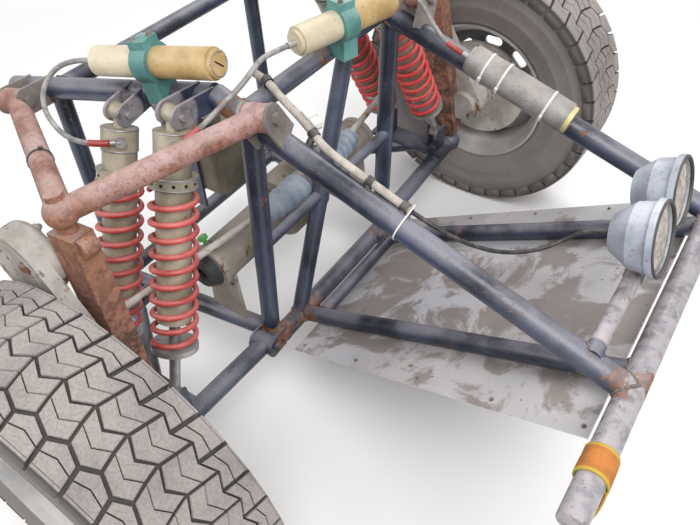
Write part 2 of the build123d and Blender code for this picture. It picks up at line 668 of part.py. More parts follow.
with BuildPart() as shock_bodies:
    for row in SHOCK_TABLE:
        for side in SIDES:
            top = at(row["top"], side)
            low = at(row["low"], side)
            eye_barrel(top, EYE_R, EYE_LEN)
            rod(top, along(top, low, HEAD_START + HEAD_LEN), 12)
            rod(along(top, low, HEAD_START), along(top, low, HEAD_START + HEAD_LEN), HEAD_R)
            rod(along(top, low, HEAD_START), along(top, low, BODY_LEN), BODY_R)
            rod(along(top, low, COLLAR_START), along(top, low, COLLAR_START + COLLAR_LEN), COLLAR_R)
            rod(along(top, low, BODY_LEN - 60), along(top, low, BODY_LEN), ROD_R + FIT_GAP, mode=Mode.SUBTRACT)
shock_bodies.part.label = "shock_bodies"
export_step(shock_bodies.part, "parts/shock_bodies.step")

with BuildPart() as shock_rods:
    for row in SHOCK_TABLE:
        for side in SIDES:
            top = at(row["top"], side)
            low = at(row["low"], side)
            reach = (low - top).length
            eye_barrel(low, EYE_R, EYE_LEN)
            rod(along(top, low, BODY_LEN - 55), low, ROD_R)
            seat = SPRING_START + SPRING_LEN
            rod(along(top, low, seat), along(top, low, seat + SEAT_T), SPRING_R)
shock_rods.part.label = "shock_rods"
export_step(shock_rods.part, "parts/shock_rods.step")

springs_made = []
for row in SHOCK_TABLE:
    for side in SIDES:
        top = at(row["top"], side)
        low = at(row["low"], side)
        start = along(top, low, SPRING_START + SPRING_WIRE_R)
        frame_plane = Plane(origin=start, z_dir=low - top)
        coil = Helix(pitch=SPRING_PITCH, height=SPRING_PITCH * SPRING_TURNS, radius=SPRING_R - SPRING_WIRE_R)
        coil = coil.moved(frame_plane.location)
        with BuildPart() as one_spring:
            with BuildSketch(Plane(origin=coil @ 0, z_dir=coil % 0)):
                Circle(SPRING_WIRE_R)
            sweep(path=coil, is_frenet=True)
        springs_made.append(one_spring.part)
springs = Part() + springs_made
springs.label = "springs"
export_step(springs, "parts/springs.step")

# Shock clevises on the rails, with a bolt through each top eye
with BuildPart() as shock_clevises:
    for row in SHOCK_TABLE:
        for side in SIDES:
            top = at(row["top"], side)
            foot_point = rail_up_at(min(row["top"][0], NOSE_TOP_REAR[0]))
            foot = at(foot_point, side)
            level = Vector(0, foot.Y - top.Y, foot.Z - top.Z)
            for step in (-1, 1):
                base = top + Vector(step * (EYE_LEN / 2 + FIT_GAP + 3), 0, 0)
                with BuildSketch(Plane(origin=base, x_dir=level, z_dir=(1, 0, 0))):
                    with Locations((0, 0)):
                        Circle(22)
                    with Locations((level.length / 2, 0)):
                        Rectangle(level.length, 44)
                extrude(amount=3, both=True)
            rod(top - Vector(EYE_LEN / 2 + 14, 0, 0), top + Vector(EYE_LEN / 2 + 14, 0, 0), 6)
    for row in SHOCK_TABLE:
        for side in SIDES:
            top = at(row["top"], side)
            low = at(row["low"], side)
            with BuildSketch(Plane(origin=top - Vector(EYE_LEN / 2, 0, 0), z_dir=(1, 0, 0))):
                Circle(EYE_R)
            extrude(amount=EYE_LEN, mode=Mode.SUBTRACT)
            rod(along(top, low, HEAD_START - 1), along(top, low, BODY_LEN), HEAD_R + 1, mode=Mode.SUBTRACT)
    cut_frame_tubes()
shock_clevises.part.label = "shock_clevises"
export_step(shock_clevises.part, "parts/shock_clevises.step")

# Fluid tank behind the right-hand coilovers, on a strap bracket from the rail
TANK = (352, -150, 90)
TANK_SIZE = (170, 96, 150)
with BuildPart() as fluid_tank:
    with Locations(TANK):
        Box(*TANK_SIZE)
    fillet(fluid_tank.edges().filter_by(Axis.Z), 22)
    with Locations((TANK[0] + 30, TANK[1], TANK[2] + TANK_SIZE[2] / 2 + 10)):
        Cylinder(24, 20)
fluid_tank.part.label = "fluid_tank"
export_step(fluid_tank.part, "parts/fluid_tank.step")

tank_rail = at(rail_up_at(TANK[0]), -1)
with BuildPart() as tank_bracket:
    with Locations((TANK[0], TANK[1], TANK[2] - TANK_SIZE[2] / 2 - 2)):
        Box(50, TANK_SIZE[1] + 6, 4)
    with Locations((TANK[0], TANK[1] - TANK_SIZE[1] / 2 - 4, TANK[2] - 2 - 25)):
        Box(50, 6, TANK_SIZE[2] + 50)
    strap_top = TANK[2] + TANK_SIZE[2] / 2 - 25
    with BuildSketch(Plane(origin=(TANK[0] - 25, 0, 0), x_dir=(0, 1, 0), z_dir=(1, 0, 0))):
        with BuildLine():
            Polyline((TANK[1] - TANK_SIZE[1] / 2 - 7, strap_top - 60), (TANK[1] - TANK_SIZE[1] / 2 - 1, strap_top - 60),
                     (TANK[1] - TANK_SIZE[1] / 2 - 1, strap_top), (tank_rail.Y, tank_rail.Z + 3),
                     (tank_rail.Y, tank_rail.Z - 3), (TANK[1] - TANK_SIZE[1] / 2 - 7, strap_top - 8), close=True)
        make_face()
    extrude(amount=50)
    with Locations(TANK):
        Box(*TANK_SIZE, mode=Mode.SUBTRACT)
    cut_frame_tubes()
tank_bracket.part.label = "tank_bracket"
export_step(tank_bracket.part, "parts/tank_bracket.step")

# Remote reservoirs: two on the rails, one over the cross tube and one on the left nose tube
RES_R = 28.5
RES_NOSE_R = 32
res_rail_rear = (272, 288, 338)
res_rail_front = (535, 247, 389)
res_cross_right = Vector(576, -72, 362)
res_cross_left = Vector(632, 150, 362)
NOSE_RES_SPAN = (795, 1010)
nose_axis = (Vector(*nose_top_front) - Vector(*NOSE_TOP_REAR)).normalized()
nose_above = Vector(-nose_axis.Z, 0, nose_axis.X)
nose_seat = (nose_above - Vector(0, 1, 0)).normalized() * (MAIN_R + RES_NOSE_R)
nose_res_rear = Vector(*nose_top_at(NOSE_RES_SPAN[0])) + nose_seat
nose_res_front = Vector(*nose_top_at(NOSE_RES_SPAN[1])) + nose_seat
RESERVOIR_TABLE = (
    {"start": at(res_rail_rear, -1), "end": at(res_rail_front, -1), "radius": RES_R},
    {"start": at(res_rail_rear, 1), "end": at(res_rail_front, 1), "radius": RES_R},
    {"start": res_cross_right, "end": res_cross_left, "radius": RES_R},
    {"start": nose_res_rear, "end": nose_res_front, "radius": RES_NOSE_R},
)


def bottle(row):
    start = row["start"]
    end = row["end"]
    rod(start, end, row["radius"])
    rod(along(start, end, -7), start, row["radius"] - 6)
    rod(end, along(end, start, -9), row["radius"] - 4)


with BuildPart() as reservoirs:
    for row in RESERVOIR_TABLE[:3]:
        bottle(row)
reservoirs.part.label = "reservoirs"
export_step(reservoirs.part, "parts/reservoirs.step")

with BuildPart() as nose_reservoir:
    bottle(RESERVOIR_TABLE[3])
nose_reservoir.part.label = "nose_reservoir"
export_step(nose_reservoir.part, "parts/nose_reservoir.step")

# Reservoir clamps: split blocks around each bottle, seated on the tube below
CLAMP_W = 36
CLAMP_R = 37
with BuildPart() as reservoir_clamps:
    for row in RESERVOIR_TABLE[:3]:
        start = row["start"]
        end = row["end"]
        middle = between(start, end, 0.47)
        axis = (end - start).normalized()
        plane = Plane(origin=middle - axis * (CLAMP_W / 2), x_dir=Vector(-axis.Y, axis.X, 0), z_dir=axis)
        with BuildSketch(plane):
            Circle(CLAMP_R)
            with Locations((0, -34)):
                Rectangle(50, 68)
            with Locations((0, 38)):
                Rectangle(40, 16)
        extrude(amount=CLAMP_W)
    for row in RESERVOIR_TABLE[:3]:
        rod(row["start"], row["end"], row["radius"], mode=Mode.SUBTRACT)
    cut_frame_tubes()
    under = []
    for solid in reservoir_clamps.solids():
        if solid.volume < 20000:
            under.append(solid)
    for scrap in under:
        add(scrap, mode=Mode.SUBTRACT)
reservoir_clamps.part.label = "reservoir_clamps"
export_step(reservoir_clamps.part, "parts/reservoir_clamps.step")

# Steering knuckles: a box post on the kingpin axis with an ear and a steering arm
SPINDLE_R = 17
BOSS_R = 52
BOSS_IN_Y = 640
BOSS_OUT_Y = 700
SPINDLE_LEN = 62
NECK_R = 40
NECK_IN_Y = 602
POST_DEPTH = 64
POST_WIDTH = 44
POST_FOOT_GAP = 40
POST_HEAD_GAP = 36
EAR_R = 18
EAR_DROP = 56
EAR_W = 30
STEER_ARM_R = 12
ARM_EYE_R = 17
ARM_EYE_HALF = 11


def post(side, mode=Mode.ADD):
    low = at(LOW_BALL, side)
    top = at(UP_BALL, side)
    axis = (top - low).normalized()
    forward = (Vector(1, 0, 0) - axis * axis.X).normalized()
    with BuildSketch(Plane(origin=low + axis * POST_FOOT_GAP, x_dir=forward, z_dir=axis)) as section:
        Rectangle(POST_DEPTH, POST_WIDTH)
    extrude(section.sketch, amount=(top - low).length - POST_FOOT_GAP - POST_HEAD_GAP, mode=mode)


def steering_arm(side, mode=Mode.ADD):
    rod(between(at(LOW_BALL, side), at(UP_BALL, side), king_share), at(TIE_END, side), STEER_ARM_R, mode=mode)


def knuckle(side):
    low = at(LOW_BALL, side)
    top = at(UP_BALL, side)
    axis = (top - low).normalized()
    post(side)
    rod(low - axis * 30, low + axis * 44, KING_R)
    rod(top - axis * 40, top + axis * 34, KING_R)
    forward = (Vector(1, 0, 0) - axis * axis.X).normalized()
    across = axis.cross(forward)
    ear = top - axis * EAR_DROP + forward * (POST_DEPTH / 2)
    rod(ear - across * (EAR_W / 2), ear + across * (EAR_W / 2), EAR_R)
    steering_arm(side)
    end = at(TIE_END, side)
    rod(end - axis * ARM_EYE_HALF, end + axis * ARM_EYE_HALF, ARM_EYE_R)
    rod(end - axis * 20, end + axis * 20, TIE_PIN_R + FIT_GAP, mode=Mode.SUBTRACT)


with BuildPart() as knuckle_right:
    knuckle(-1)
knuckle_right.part.label = "knuckle_right"
export_step(knuckle_right.part, "parts/knuckle_right.step")

with BuildPart() as knuckle_left:
    knuckle(1)
knuckle_left.part.label = "knuckle_left"
export_step(knuckle_left.part, "parts/knuckle_left.step")

# Wheel carriers: cast plates on the posts, with a round lobe behind, the bearing boss and the spindle
LOBE_X = 403
LOBE_Z = 164
LOBE_R = 70
LOBE_IN_Y = 592
LOBE_OUT_Y = 650
LOBE_ROUND = 18
PLATE_IN_Y = 622
PLATE_OUT_Y = 648
PLATE_END_R = 54
CAP_BOLT_R = 9
CAP_BOLT_RING_R = 46
CAP_BOLTS = 5


def carrier(side, made):
    for face_y, depth, outline in ((LOBE_IN_Y, LOBE_OUT_Y - LOBE_IN_Y, "lobe"),
                                   (PLATE_IN_Y, PLATE_OUT_Y - PLATE_IN_Y, "plate")):
        face = Plane(origin=(0, side * face_y, 0), x_dir=(1, 0, 0), z_dir=(0, side, 0))
        flip = -side
        with BuildSketch(face) as shape:
            with Locations((LOBE_X, flip * LOBE_Z)):
                Circle(LOBE_R)
            if outline == "plate":
                with Locations((WHEEL_X, flip * WHEEL_Z)):
                    Circle(PLATE_END_R)
                make_hull()
        extrude(shape.sketch, amount=depth)
        if outline == "lobe":
            fillet(made.edges().filter_by(GeomType.CIRCLE), LOBE_ROUND)
    for step in range(CAP_BOLTS):
        turn = radians(360 / CAP_BOLTS * step + 20)
        bolt = Vector(LOBE_X + CAP_BOLT_RING_R * cos(turn), side * LOBE_IN_Y, LOBE_Z + CAP_BOLT_RING_R * sin(turn))
        rod(bolt + Vector(0, side * 4, 0), bolt - Vector(0, side * 6, 0), CAP_BOLT_R)
    rod(Vector(WHEEL_X, side * NECK_IN_Y, WHEEL_Z), Vector(WHEEL_X, side * BOSS_IN_Y, WHEEL_Z), NECK_R)
    rod(Vector(WHEEL_X, side * BOSS_IN_Y, WHEEL_Z), Vector(WHEEL_X, side * BOSS_OUT_Y, WHEEL_Z), BOSS_R)
    rod(Vector(WHEEL_X, side * BOSS_OUT_Y, WHEEL_Z), Vector(WHEEL_X, side * (BOSS_OUT_Y + SPINDLE_LEN), WHEEL_Z),
        SPINDLE_R)
    post(side, mode=Mode.SUBTRACT)
    steering_arm(side, mode=Mode.SUBTRACT)


with BuildPart() as carrier_right:
    carrier(-1, carrier_right)
carrier_right.part.label = "carrier_right"
export_step(carrier_right.part, "parts/carrier_right.step")

with BuildPart() as carrier_left:
    carrier(1, carrier_left)
carrier_left.part.label = "carrier_left"
export_step(carrier_left.part, "parts/carrier_left.step")

# Hubs with the brake discs
DISC_R = 145
DISC_T = 12
DISC_Y = 722
HUB_R = 58


def hub(side):
    inner = BOSS_OUT_Y + 6
    rod(Vector(WHEEL_X, side * inner, WHEEL_Z), Vector(WHEEL_X, side * 775, WHEEL_Z), HUB_R)
    rod(Vector(WHEEL_X, side * DISC_Y, WHEEL_Z), Vector(WHEEL_X, side * (DISC_Y + DISC_T), WHEEL_Z), DISC_R)
    rod(Vector(WHEEL_X, side * 775, WHEEL_Z), Vector(WHEEL_X, side * 830, WHEEL_Z), 38)
    rod(Vector(WHEEL_X, side * (inner - 5), WHEEL_Z), Vector(WHEEL_X, side * (BOSS_OUT_Y + 72), WHEEL_Z),
        SPINDLE_R + FIT_GAP, mode=Mode.SUBTRACT)


with BuildPart() as hub_right:
    hub(-1)
hub_right.part.label = "hub_right"
export_step(hub_right.part, "parts/hub_right.step")

with BuildPart() as hub_left:
    hub(1)
hub_left.part.label = "hub_left"
export_step(hub_left.part, "parts/hub_left.step")

# Brake calipers: blocks that straddle the disc, on an ear of the knuckle
CALIPER_IN_R = 88
CALIPER_OUT_R = 168
CALIPER_H = 90
CALIPER_W = 56


def caliper(side):
    with BuildSketch(Plane(origin=(WHEEL_X, side * BOSS_OUT_Y, WHEEL_Z), x_dir=(-1, 0, 0),
                           z_dir=(0, side, 0))) as block:
        with Locations(((CALIPER_IN_R + CALIPER_OUT_R) / 2, 0)):
            Rectangle(CALIPER_OUT_R - CALIPER_IN_R, CALIPER_H)
    extrude(block.sketch, amount=CALIPER_W)
    with Locations((WHEEL_X - 85, side * (BOSS_OUT_Y - 8), WHEEL_Z)):
        Box(90, 16, 62)
    rod(Vector(WHEEL_X, side * (DISC_Y - 5), WHEEL_Z), Vector(WHEEL_X, side * (DISC_Y + DISC_T + 5), WHEEL_Z),
        DISC_R + 4, mode=Mode.SUBTRACT)
    rod(Vector(WHEEL_X, side * BOSS_IN_Y, WHEEL_Z), Vector(WHEEL_X, side * BOSS_OUT_Y, WHEEL_Z), BOSS_R,
        mode=Mode.SUBTRACT)
    rod(Vector(WHEEL_X, side * BOSS_OUT_Y, WHEEL_Z), Vector(WHEEL_X, side * 790, WHEEL_Z), HUB_R + 6,
        mode=Mode.SUBTRACT)


with BuildPart() as caliper_right:
    caliper(-1)
caliper_right.part.label = "caliper_right"
export_step(caliper_right.part, "parts/caliper_right.step")

with BuildPart() as caliper_left:
    caliper(1)
caliper_left.part.label = "caliper_left"
export_step(caliper_left.part, "parts/caliper_left.step")

# Rims: a dished disc with windows inside a barrel
FACE_Y = 34
BEAD_R = RIM_RADIUS - 3
WINDOWS = 8


with BuildPart() as rim_shape:
    with BuildSketch(Plane.XY):
        half = RIM_WIDTH / 2
        with BuildLine():
            Polyline((RIM_RADIUS + 8, -half), (RIM_RADIUS + 8, -half + 6), (BEAD_R, -half + 10),
                     (BEAD_R, -half + 30), (RIM_RADIUS - 18, -half + 42), (RIM_RADIUS - 18, half - 60),
                     (BEAD_R, half - 30), (BEAD_R, half - 10),
                     (RIM_RADIUS + 8, half - 6), (RIM_RADIUS + 8, half), (RIM_RADIUS + 3, half),
                     (RIM_RADIUS - 9, half - 16), (RIM_RADIUS - 24, half - 60), (RIM_RADIUS - 24, FACE_Y + 2),
                     (70, FACE_Y - 20), (38, FACE_Y - 20), (38, FACE_Y - 28), (74, FACE_Y - 28),
                     (RIM_RADIUS - 26, FACE_Y - 8), (RIM_RADIUS - 24, -half + 45),
                     (RIM_RADIUS - 9, -half + 16), (RIM_RADIUS + 2, -half), close=True)
        make_face()
    revolve(axis=Axis.Y, revolution_arc=360)
    with BuildSketch(Plane.XZ.offset(-FACE_Y - 30)):
        with PolarLocations(122, WINDOWS):
            SlotOverall(54, 26, rotation=90)
    extrude(amount=90, mode=Mode.SUBTRACT)

for side, tag in ((-1, "right"), (1, "left")):
    turned = rim_shape.part if side > 0 else rim_shape.part.mirror(Plane.XZ)
    placed = turned.moved(Location((WHEEL_X, side * WHEEL_Y, WHEEL_Z)))
    placed.label = "rim_" + tag
    export_step(placed, "parts/rim_" + tag + ".step")

# Tyres: a carcass with wide angular blocks, close together, and narrow zigzag grooves
BEAD_IN = RIM_WIDTH / 2 - 28
BEAD_OUT = RIM_WIDTH / 2 - 11
TREAD_DEPTH = 10
TREAD_PITCHES = 20
BLOCK_ROOT_R = TYRE_RADIUS - 20
BLOCK_HEIGHT = 16
half = TYRE_WIDTH / 2
BAND_HALF = half - 8
SHOULDER_BLOCK = ((-50, BAND_HALF - 1), (50, BAND_HALF - 1), (50, BAND_HALF - 42), (-50, BAND_HALF - 36))

with BuildPart() as tyre_shape:
    base = TYRE_RADIUS - TREAD_DEPTH
    rib = TYRE_RADIUS - 3
    with BuildSketch(Plane.XY):
        with BuildLine():
            Polyline((BEAD_R, -BEAD_OUT), (BEAD_R + 60, -half), (base - 26, -half), (base, -BAND_HALF),
                     (base, -BAND_HALF + 50), (rib, -BAND_HALF + 54), (rib, BAND_HALF - 54),
                     (base, BAND_HALF - 50), (base, BAND_HALF), (base - 26, half), (BEAD_R + 60, half),
                     (BEAD_R, BEAD_OUT), (BEAD_R, BEAD_IN), (base - 22, half - 26), (base - 22, -half + 26),
                     (BEAD_R, -BEAD_IN), close=True)
        make_face()
    revolve(axis=Axis.Y, revolution_arc=360)
    for pitch in range(TREAD_PITCHES):
        for edge, shift in ((-1, 0.5), (1, 0)):
            turn = 360 / TREAD_PITCHES * (pitch + shift)
            with BuildSketch(Plane(Location((0, 0, 0), (0, turn, 0)) * Location((0, 0, BLOCK_ROOT_R)))):
                with BuildLine():
                    Polyline([(x, edge * y) for x, y in SHOULDER_BLOCK], close=True)
                make_face()
            extrude(amount=BLOCK_HEIGHT)
for side, tag in ((-1, "right"), (1, "left")):
    turned = tyre_shape.part if side > 0 else tyre_shape.part.mirror(Plane.XZ)
    placed = turned.moved(Location((WHEEL_X, side * WHEEL_Y, WHEEL_Z)))
    placed.label = "tyre_" + tag
    export_step(placed, "parts/tyre_" + tag + ".step")


# Tie rods: from the steering arm's eye into the boot
def tie_rod(side):
    outer = at(TIE_END, side)
    inner = Vector(tie_inner.X, side * tie_inner.Y, tie_inner.Z)
    low = at(LOW_BALL, side)
    top = at(UP_BALL, side)
    axis = (top - low).normalized()
    rod(outer - axis * 14, outer + axis * 34, TIE_PIN_R)
    head = outer + axis * TIE_HEAD_RISE
    with Locations(head):
        Sphere(14)
    rod(head, inner, TIE_ROD_R)


with BuildPart() as tie_rod_right:
    tie_rod(-1)
tie_rod_right.part.label = "tie_rod_right"
export_step(tie_rod_right.part, "parts/tie_rod_right.step")

with BuildPart() as tie_rod_left:
    tie_rod(1)
tie_rod_left.part.label = "tie_rod_left"
export_step(tie_rod_left.part, "parts/tie_rod_left.step")

# Rack bar: slides in the housing between the tie rods
with BuildPart() as rack_bar:
    rod(Vector(RACK_X, -RACK_END, RACK_Z), Vector(RACK_X, RACK_END, RACK_Z), RACK_BAR_R)
rack_bar.part.label = "rack_bar"
export_step(rack_bar.part, "parts/rack_bar.step")

# Hoses, conduit and cable: straight runs joined by tangent arcs
HOSE_R = 5
CONDUIT_R = 7.5
CABLE_R = 4
ARC_SHARE = 0.45


def route_path(points):
    radii = []
    for before, here, after in zip(points[:-2], points[1:-1], points[2:]):
        turn = (here - before).get_angle(after - here)
        shorter = min((here - before).length, (after - here).length)
        radii.append(ARC_SHARE * shorter / tan(radians(turn / 2)))
    return FilletPolyline(*points, radius=radii), radii


def report_cord(name, made, points, radii, radius):
    with BuildLine() as route:
        path = route_path(points)[0]
    length = path.length
    share = made.volume / (pi * radius ** 2 * length)
    print(name, "length", round(length, 1), "volume share", round(share, 4),
          "radii", [round(value) for value in radii])


BANJO_TABLE = (
    {"tag": "rear", "top": SHOCK_REAR_TOP, "low": SHOCK_REAR_LOW, "face": (0.768, 0.540, 0.344)},
    {"tag": "front", "top": SHOCK_FRONT_TOP, "low": SHOCK_FRONT_LOW, "face": (0.760, 0.554, 0.340)},
)
BANJO_R = 10
BANJO_RISE = 6
BANJO_STUB = 18
END_STUB = 17
STUB_R = 6.5
NECK_START = 7


def banjo_centre(row, side):
    head = along(at(row["top"], side), at(row["low"], side), HEAD_START + HEAD_LEN / 2)
    return head + at(row["face"], side) * (HEAD_R + BANJO_RISE)


def hose_start(row, side, first):
    centre = banjo_centre(row, side)
    return along(centre, at(first, side), BANJO_STUB)


def bottle_port(row):
    return along(row["start"], row["end"], -NECK_START - END_STUB)


REAR_ROUTE = ((342, 408, 248), (298, 420, 252), (250, 410, 257), (203, 392, 262), (169, 364, 281), (169, 325, 308))
FRONT_ROUTE = ((551, 320, 308), (569, 281, 336), (581, 235, 358), (576, 184, 374))
NOSE_ROUTE = ((551, 320, 308), (569, 281, 336), (592, 243, 362), (632, 217, 372), (678, 206, 352), (712, 202, 312))
HOSE_TABLE = (
    {"tag": "hose_rear_right", "side": -1, "banjo": BANJO_TABLE[0], "bottle": RESERVOIR_TABLE[0],
     "route": REAR_ROUTE, "last": 46},
    {"tag": "hose_rear_left", "side": 1, "banjo": BANJO_TABLE[0], "bottle": RESERVOIR_TABLE[1],
     "route": REAR_ROUTE, "last": 46},
    {"tag": "hose_front_right", "side": -1, "banjo": BANJO_TABLE[1], "bottle": RESERVOIR_TABLE[2],
     "route": FRONT_ROUTE, "last": 48},
    {"tag": "hose_front_left", "side": 1, "banjo": BANJO_TABLE[1], "bottle": RESERVOIR_TABLE[3],
     "route": NOSE_ROUTE, "last": 43},
)


def hose_points(row):
    start = hose_start(row["banjo"], row["side"], row["route"][0])
    end = bottle_port(row["bottle"])
    before = along(end, row["bottle"]["start"], -row["last"])
    return [start] + [at(point, row["side"]) for point in row["route"]] + [before, end]


with BuildPart() as hose_fittings:
    for row in HOSE_TABLE:
        centre = banjo_centre(row["banjo"], row["side"])
        face = at(row["banjo"]["face"], row["side"]).normalized()
        rod(centre - face * BANJO_RISE, centre + face * BANJO_RISE, BANJO_R)
        points = hose_points(row)
        rod(centre, points[0], STUB_R)
        rod(along(row["bottle"]["start"], row["bottle"]["end"], -NECK_START), points[-1], STUB_R)
    for row in SHOCK_TABLE:
        for side in SIDES:
            top = at(row["top"], side)
            low = at(row["low"], side)
            rod(along(top, low, HEAD_START), along(top, low, HEAD_START + HEAD_LEN), HEAD_R, mode=Mode.SUBTRACT)
hose_fittings.part.label = "hose_fittings"
export_step(hose_fittings.part, "parts/hose_fittings.step")

for row in HOSE_TABLE:
    points = hose_points(row)
    with BuildPart() as hose:
        with BuildLine():
            path, radii = route_path(points)
        with BuildSketch(Plane(origin=points[0], z_dir=points[1] - points[0])):
            Circle(HOSE_R)
        sweep(path=path)
    hose.part.label = row["tag"]
    export_step(hose.part, "parts/" + row["tag"] + ".step")
    report_cord(row["tag"], hose.part, points, radii, HOSE_R)


# Wiring conduit: clipped along the right-hand upper nose tube
def beside_nose(x, rise, inward):
    axis_point = nose_top_at(x)
    return Vector(x, inward - axis_point[1], axis_point[2] + rise)


CONDUIT_POINTS = [Vector(532, -150, 322), Vector(572, -163, 326), beside_nose(618, 36, 54), beside_nose(674, 31, 45),
                  beside_nose(732, 24, 25), beside_nose(796, 25, 23), beside_nose(860, 23, 24),
                  beside_nose(912, 24, 22)]
with BuildPart() as wiring_conduit:
    with BuildLine():
        path, radii = route_path(CONDUIT_POINTS)
    with BuildSketch(Plane(origin=CONDUIT_POINTS[0], z_dir=CONDUIT_POINTS[1] - CONDUIT_POINTS[0])):
        Circle(CONDUIT_R)
    sweep(path=path)
wiring_conduit.part.label = "wiring_conduit"
export_step(wiring_conduit.part, "parts/wiring_conduit.step")
report_cord("wiring_conduit", wiring_conduit.part, CONDUIT_POINTS, radii, CONDUIT_R)

# Wire clips: one on the upper cross tube and three on the nose tube, each around the conduit
CLIP_W = 14
CLIP_WALL = 2.5
CLIP_TABLE = ((1, 2, 0.02), (3, 4, 0.5), (5, 6, 0.5), (6, 7, 0.75))
lamp_axis = Vector(cos(radians(LAMP_TILT)), 0, sin(radians(LAMP_TILT)))
lamp_back = Vector(*LAMP_PLACES[0]) - lamp_axis * LAMP_DEPTH
GROMMET_LEN = 10
cable_end = lamp_back - lamp_axis * GROMMET_LEN
with BuildPart() as wire_clips:
    for first, last, share in CLIP_TABLE:
        middle = between(CONDUIT_POINTS[first], CONDUIT_POINTS[last], share)
        run = (CONDUIT_POINTS[last] - CONDUIT_POINTS[first]).normalized()
        rod(middle - run * (CLIP_W / 2), middle + run * (CLIP_W / 2), CONDUIT_R + CLIP_WALL)
        if first == 1:
            seat = Vector(UPPER_CROSS_X, middle.Y, nose_top_at(UPPER_CROSS_X)[2])
        else:
            seat = at(nose_top_at(middle.X), -1)
        rod(seat, middle, CLIP_W / 2)
    rod(lamp_back, cable_end, CABLE_R + 4)
    rod(Vector(UPPER_CROSS_X, -RAIL_LOW_FRONT[1], nose_top_at(UPPER_CROSS_X)[2]),
        Vector(UPPER_CROSS_X, RAIL_LOW_FRONT[1], nose_top_at(UPPER_CROSS_X)[2]), BRACE_R, mode=Mode.SUBTRACT)
    rod(at(NOSE_TOP_REAR, -1), at(nose_top_front, -1), MAIN_R, mode=Mode.SUBTRACT)
    add(wiring_conduit.part, mode=Mode.SUBTRACT)
wire_clips.part.label = "wire_clips"
export_step(wire_clips.part, "parts/wire_clips.step")

# Lamp cable: out of the conduit, sagging across the nose to the back of the near lamp
CABLE_POINTS = [CONDUIT_POINTS[-1], Vector(948, -210, 192), Vector(984, -194, 168), Vector(1014, -168, 142),
                Vector(1044, -138, 120), Vector(1074, -104, 106), Vector(1104, -70, 104), Vector(1130, -44, 118),
                cable_end - lamp_axis * 34, cable_end]
with BuildPart() as lamp_cable:
    with BuildLine():
        path, radii = route_path(CABLE_POINTS)
    with BuildSketch(Plane(origin=CABLE_POINTS[0], z_dir=CABLE_POINTS[1] - CABLE_POINTS[0])):
        Circle(CABLE_R)
    sweep(path=path)
    add(wiring_conduit.part, mode=Mode.SUBTRACT)
lamp_cable.part.label = "lamp_cable"
export_step(lamp_cable.part, "parts/lamp_cable.step")
report_cord("lamp_cable", lamp_cable.part, CABLE_POINTS, radii, CABLE_R)

# Tow strap: a flat webbing loop around the bumper with a hanging tail
STRAP_Y = -400
STRAP_W = 50
STRAP_T = 4
STRAP_TAIL = 120
with BuildPart() as tow_strap:
    rod(Vector(BUMPER_X, STRAP_Y - STRAP_W / 2, BUMPER_Z), Vector(BUMPER_X, STRAP_Y + STRAP_W / 2, BUMPER_Z),
        MAIN_R + STRAP_T, MAIN_R)
    with BuildSketch(Plane(origin=(BUMPER_X, STRAP_Y - STRAP_W / 2, BUMPER_Z), x_dir=(1, 0, 0), z_dir=(0, 1, 0))):
        with BuildLine():
            Polyline((MAIN_R, 0), (MAIN_R + STRAP_T, 0), (MAIN_R + STRAP_T + 8, STRAP_TAIL / 2),
                     (MAIN_R + STRAP_T - 2, STRAP_TAIL), (MAIN_R - 2, STRAP_TAIL), (MAIN_R + 8, STRAP_TAIL / 2),
                     close=True)
        make_face()
    extrude(amount=STRAP_W)
    rod(bumper_right, bumper_left, MAIN_R, mode=Mode.SUBTRACT)
tow_strap.part.label = "tow_strap"
export_step(tow_strap.part, "parts/tow_strap.step")

print("boot lean", round(boot_lean, 3), "steering arm", round(steer_arm, 1), "ramp", round(ramp_angle, 2))
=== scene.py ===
# %% [markdown]
# # Dressing an off-road buggy's front end
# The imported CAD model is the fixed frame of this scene. It holds the tube frame, the wishbones, the
# coilovers, the wheels and the lamps at their real size, and nothing here moves or reshapes them. This file
# gives them their finishes and adds what is too fine for a solid: tread blocks, braid, bolt heads, webbing.

# %% Load the frame and remember its box
import json
from math import cos, hypot, pi, radians, sin, sqrt

import bmesh
import bpy
from mathutils import Matrix, Vector


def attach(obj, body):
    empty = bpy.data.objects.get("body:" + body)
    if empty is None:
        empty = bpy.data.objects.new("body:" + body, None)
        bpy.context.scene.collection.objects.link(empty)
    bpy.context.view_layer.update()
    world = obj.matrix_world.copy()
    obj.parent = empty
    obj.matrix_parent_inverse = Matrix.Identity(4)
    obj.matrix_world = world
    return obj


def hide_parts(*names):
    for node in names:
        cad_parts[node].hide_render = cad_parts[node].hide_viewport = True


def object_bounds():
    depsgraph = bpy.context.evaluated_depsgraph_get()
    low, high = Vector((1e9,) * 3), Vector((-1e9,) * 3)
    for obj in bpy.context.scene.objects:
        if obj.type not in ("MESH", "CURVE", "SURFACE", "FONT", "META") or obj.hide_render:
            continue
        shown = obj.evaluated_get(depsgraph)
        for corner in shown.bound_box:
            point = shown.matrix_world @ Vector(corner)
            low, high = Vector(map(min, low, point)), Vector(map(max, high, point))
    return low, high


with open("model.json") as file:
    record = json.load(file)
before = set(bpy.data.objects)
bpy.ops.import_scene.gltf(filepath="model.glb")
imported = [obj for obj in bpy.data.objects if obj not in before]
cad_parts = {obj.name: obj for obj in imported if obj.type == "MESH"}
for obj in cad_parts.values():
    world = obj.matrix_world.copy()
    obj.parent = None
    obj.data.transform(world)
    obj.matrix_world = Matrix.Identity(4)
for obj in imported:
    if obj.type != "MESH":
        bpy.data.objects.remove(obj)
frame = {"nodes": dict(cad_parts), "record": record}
cad_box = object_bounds()
nodes = frame["nodes"]
print("CAD nodes:", len(nodes), "box:", [[round(v, 3) for v in corner] for corner in cad_box])

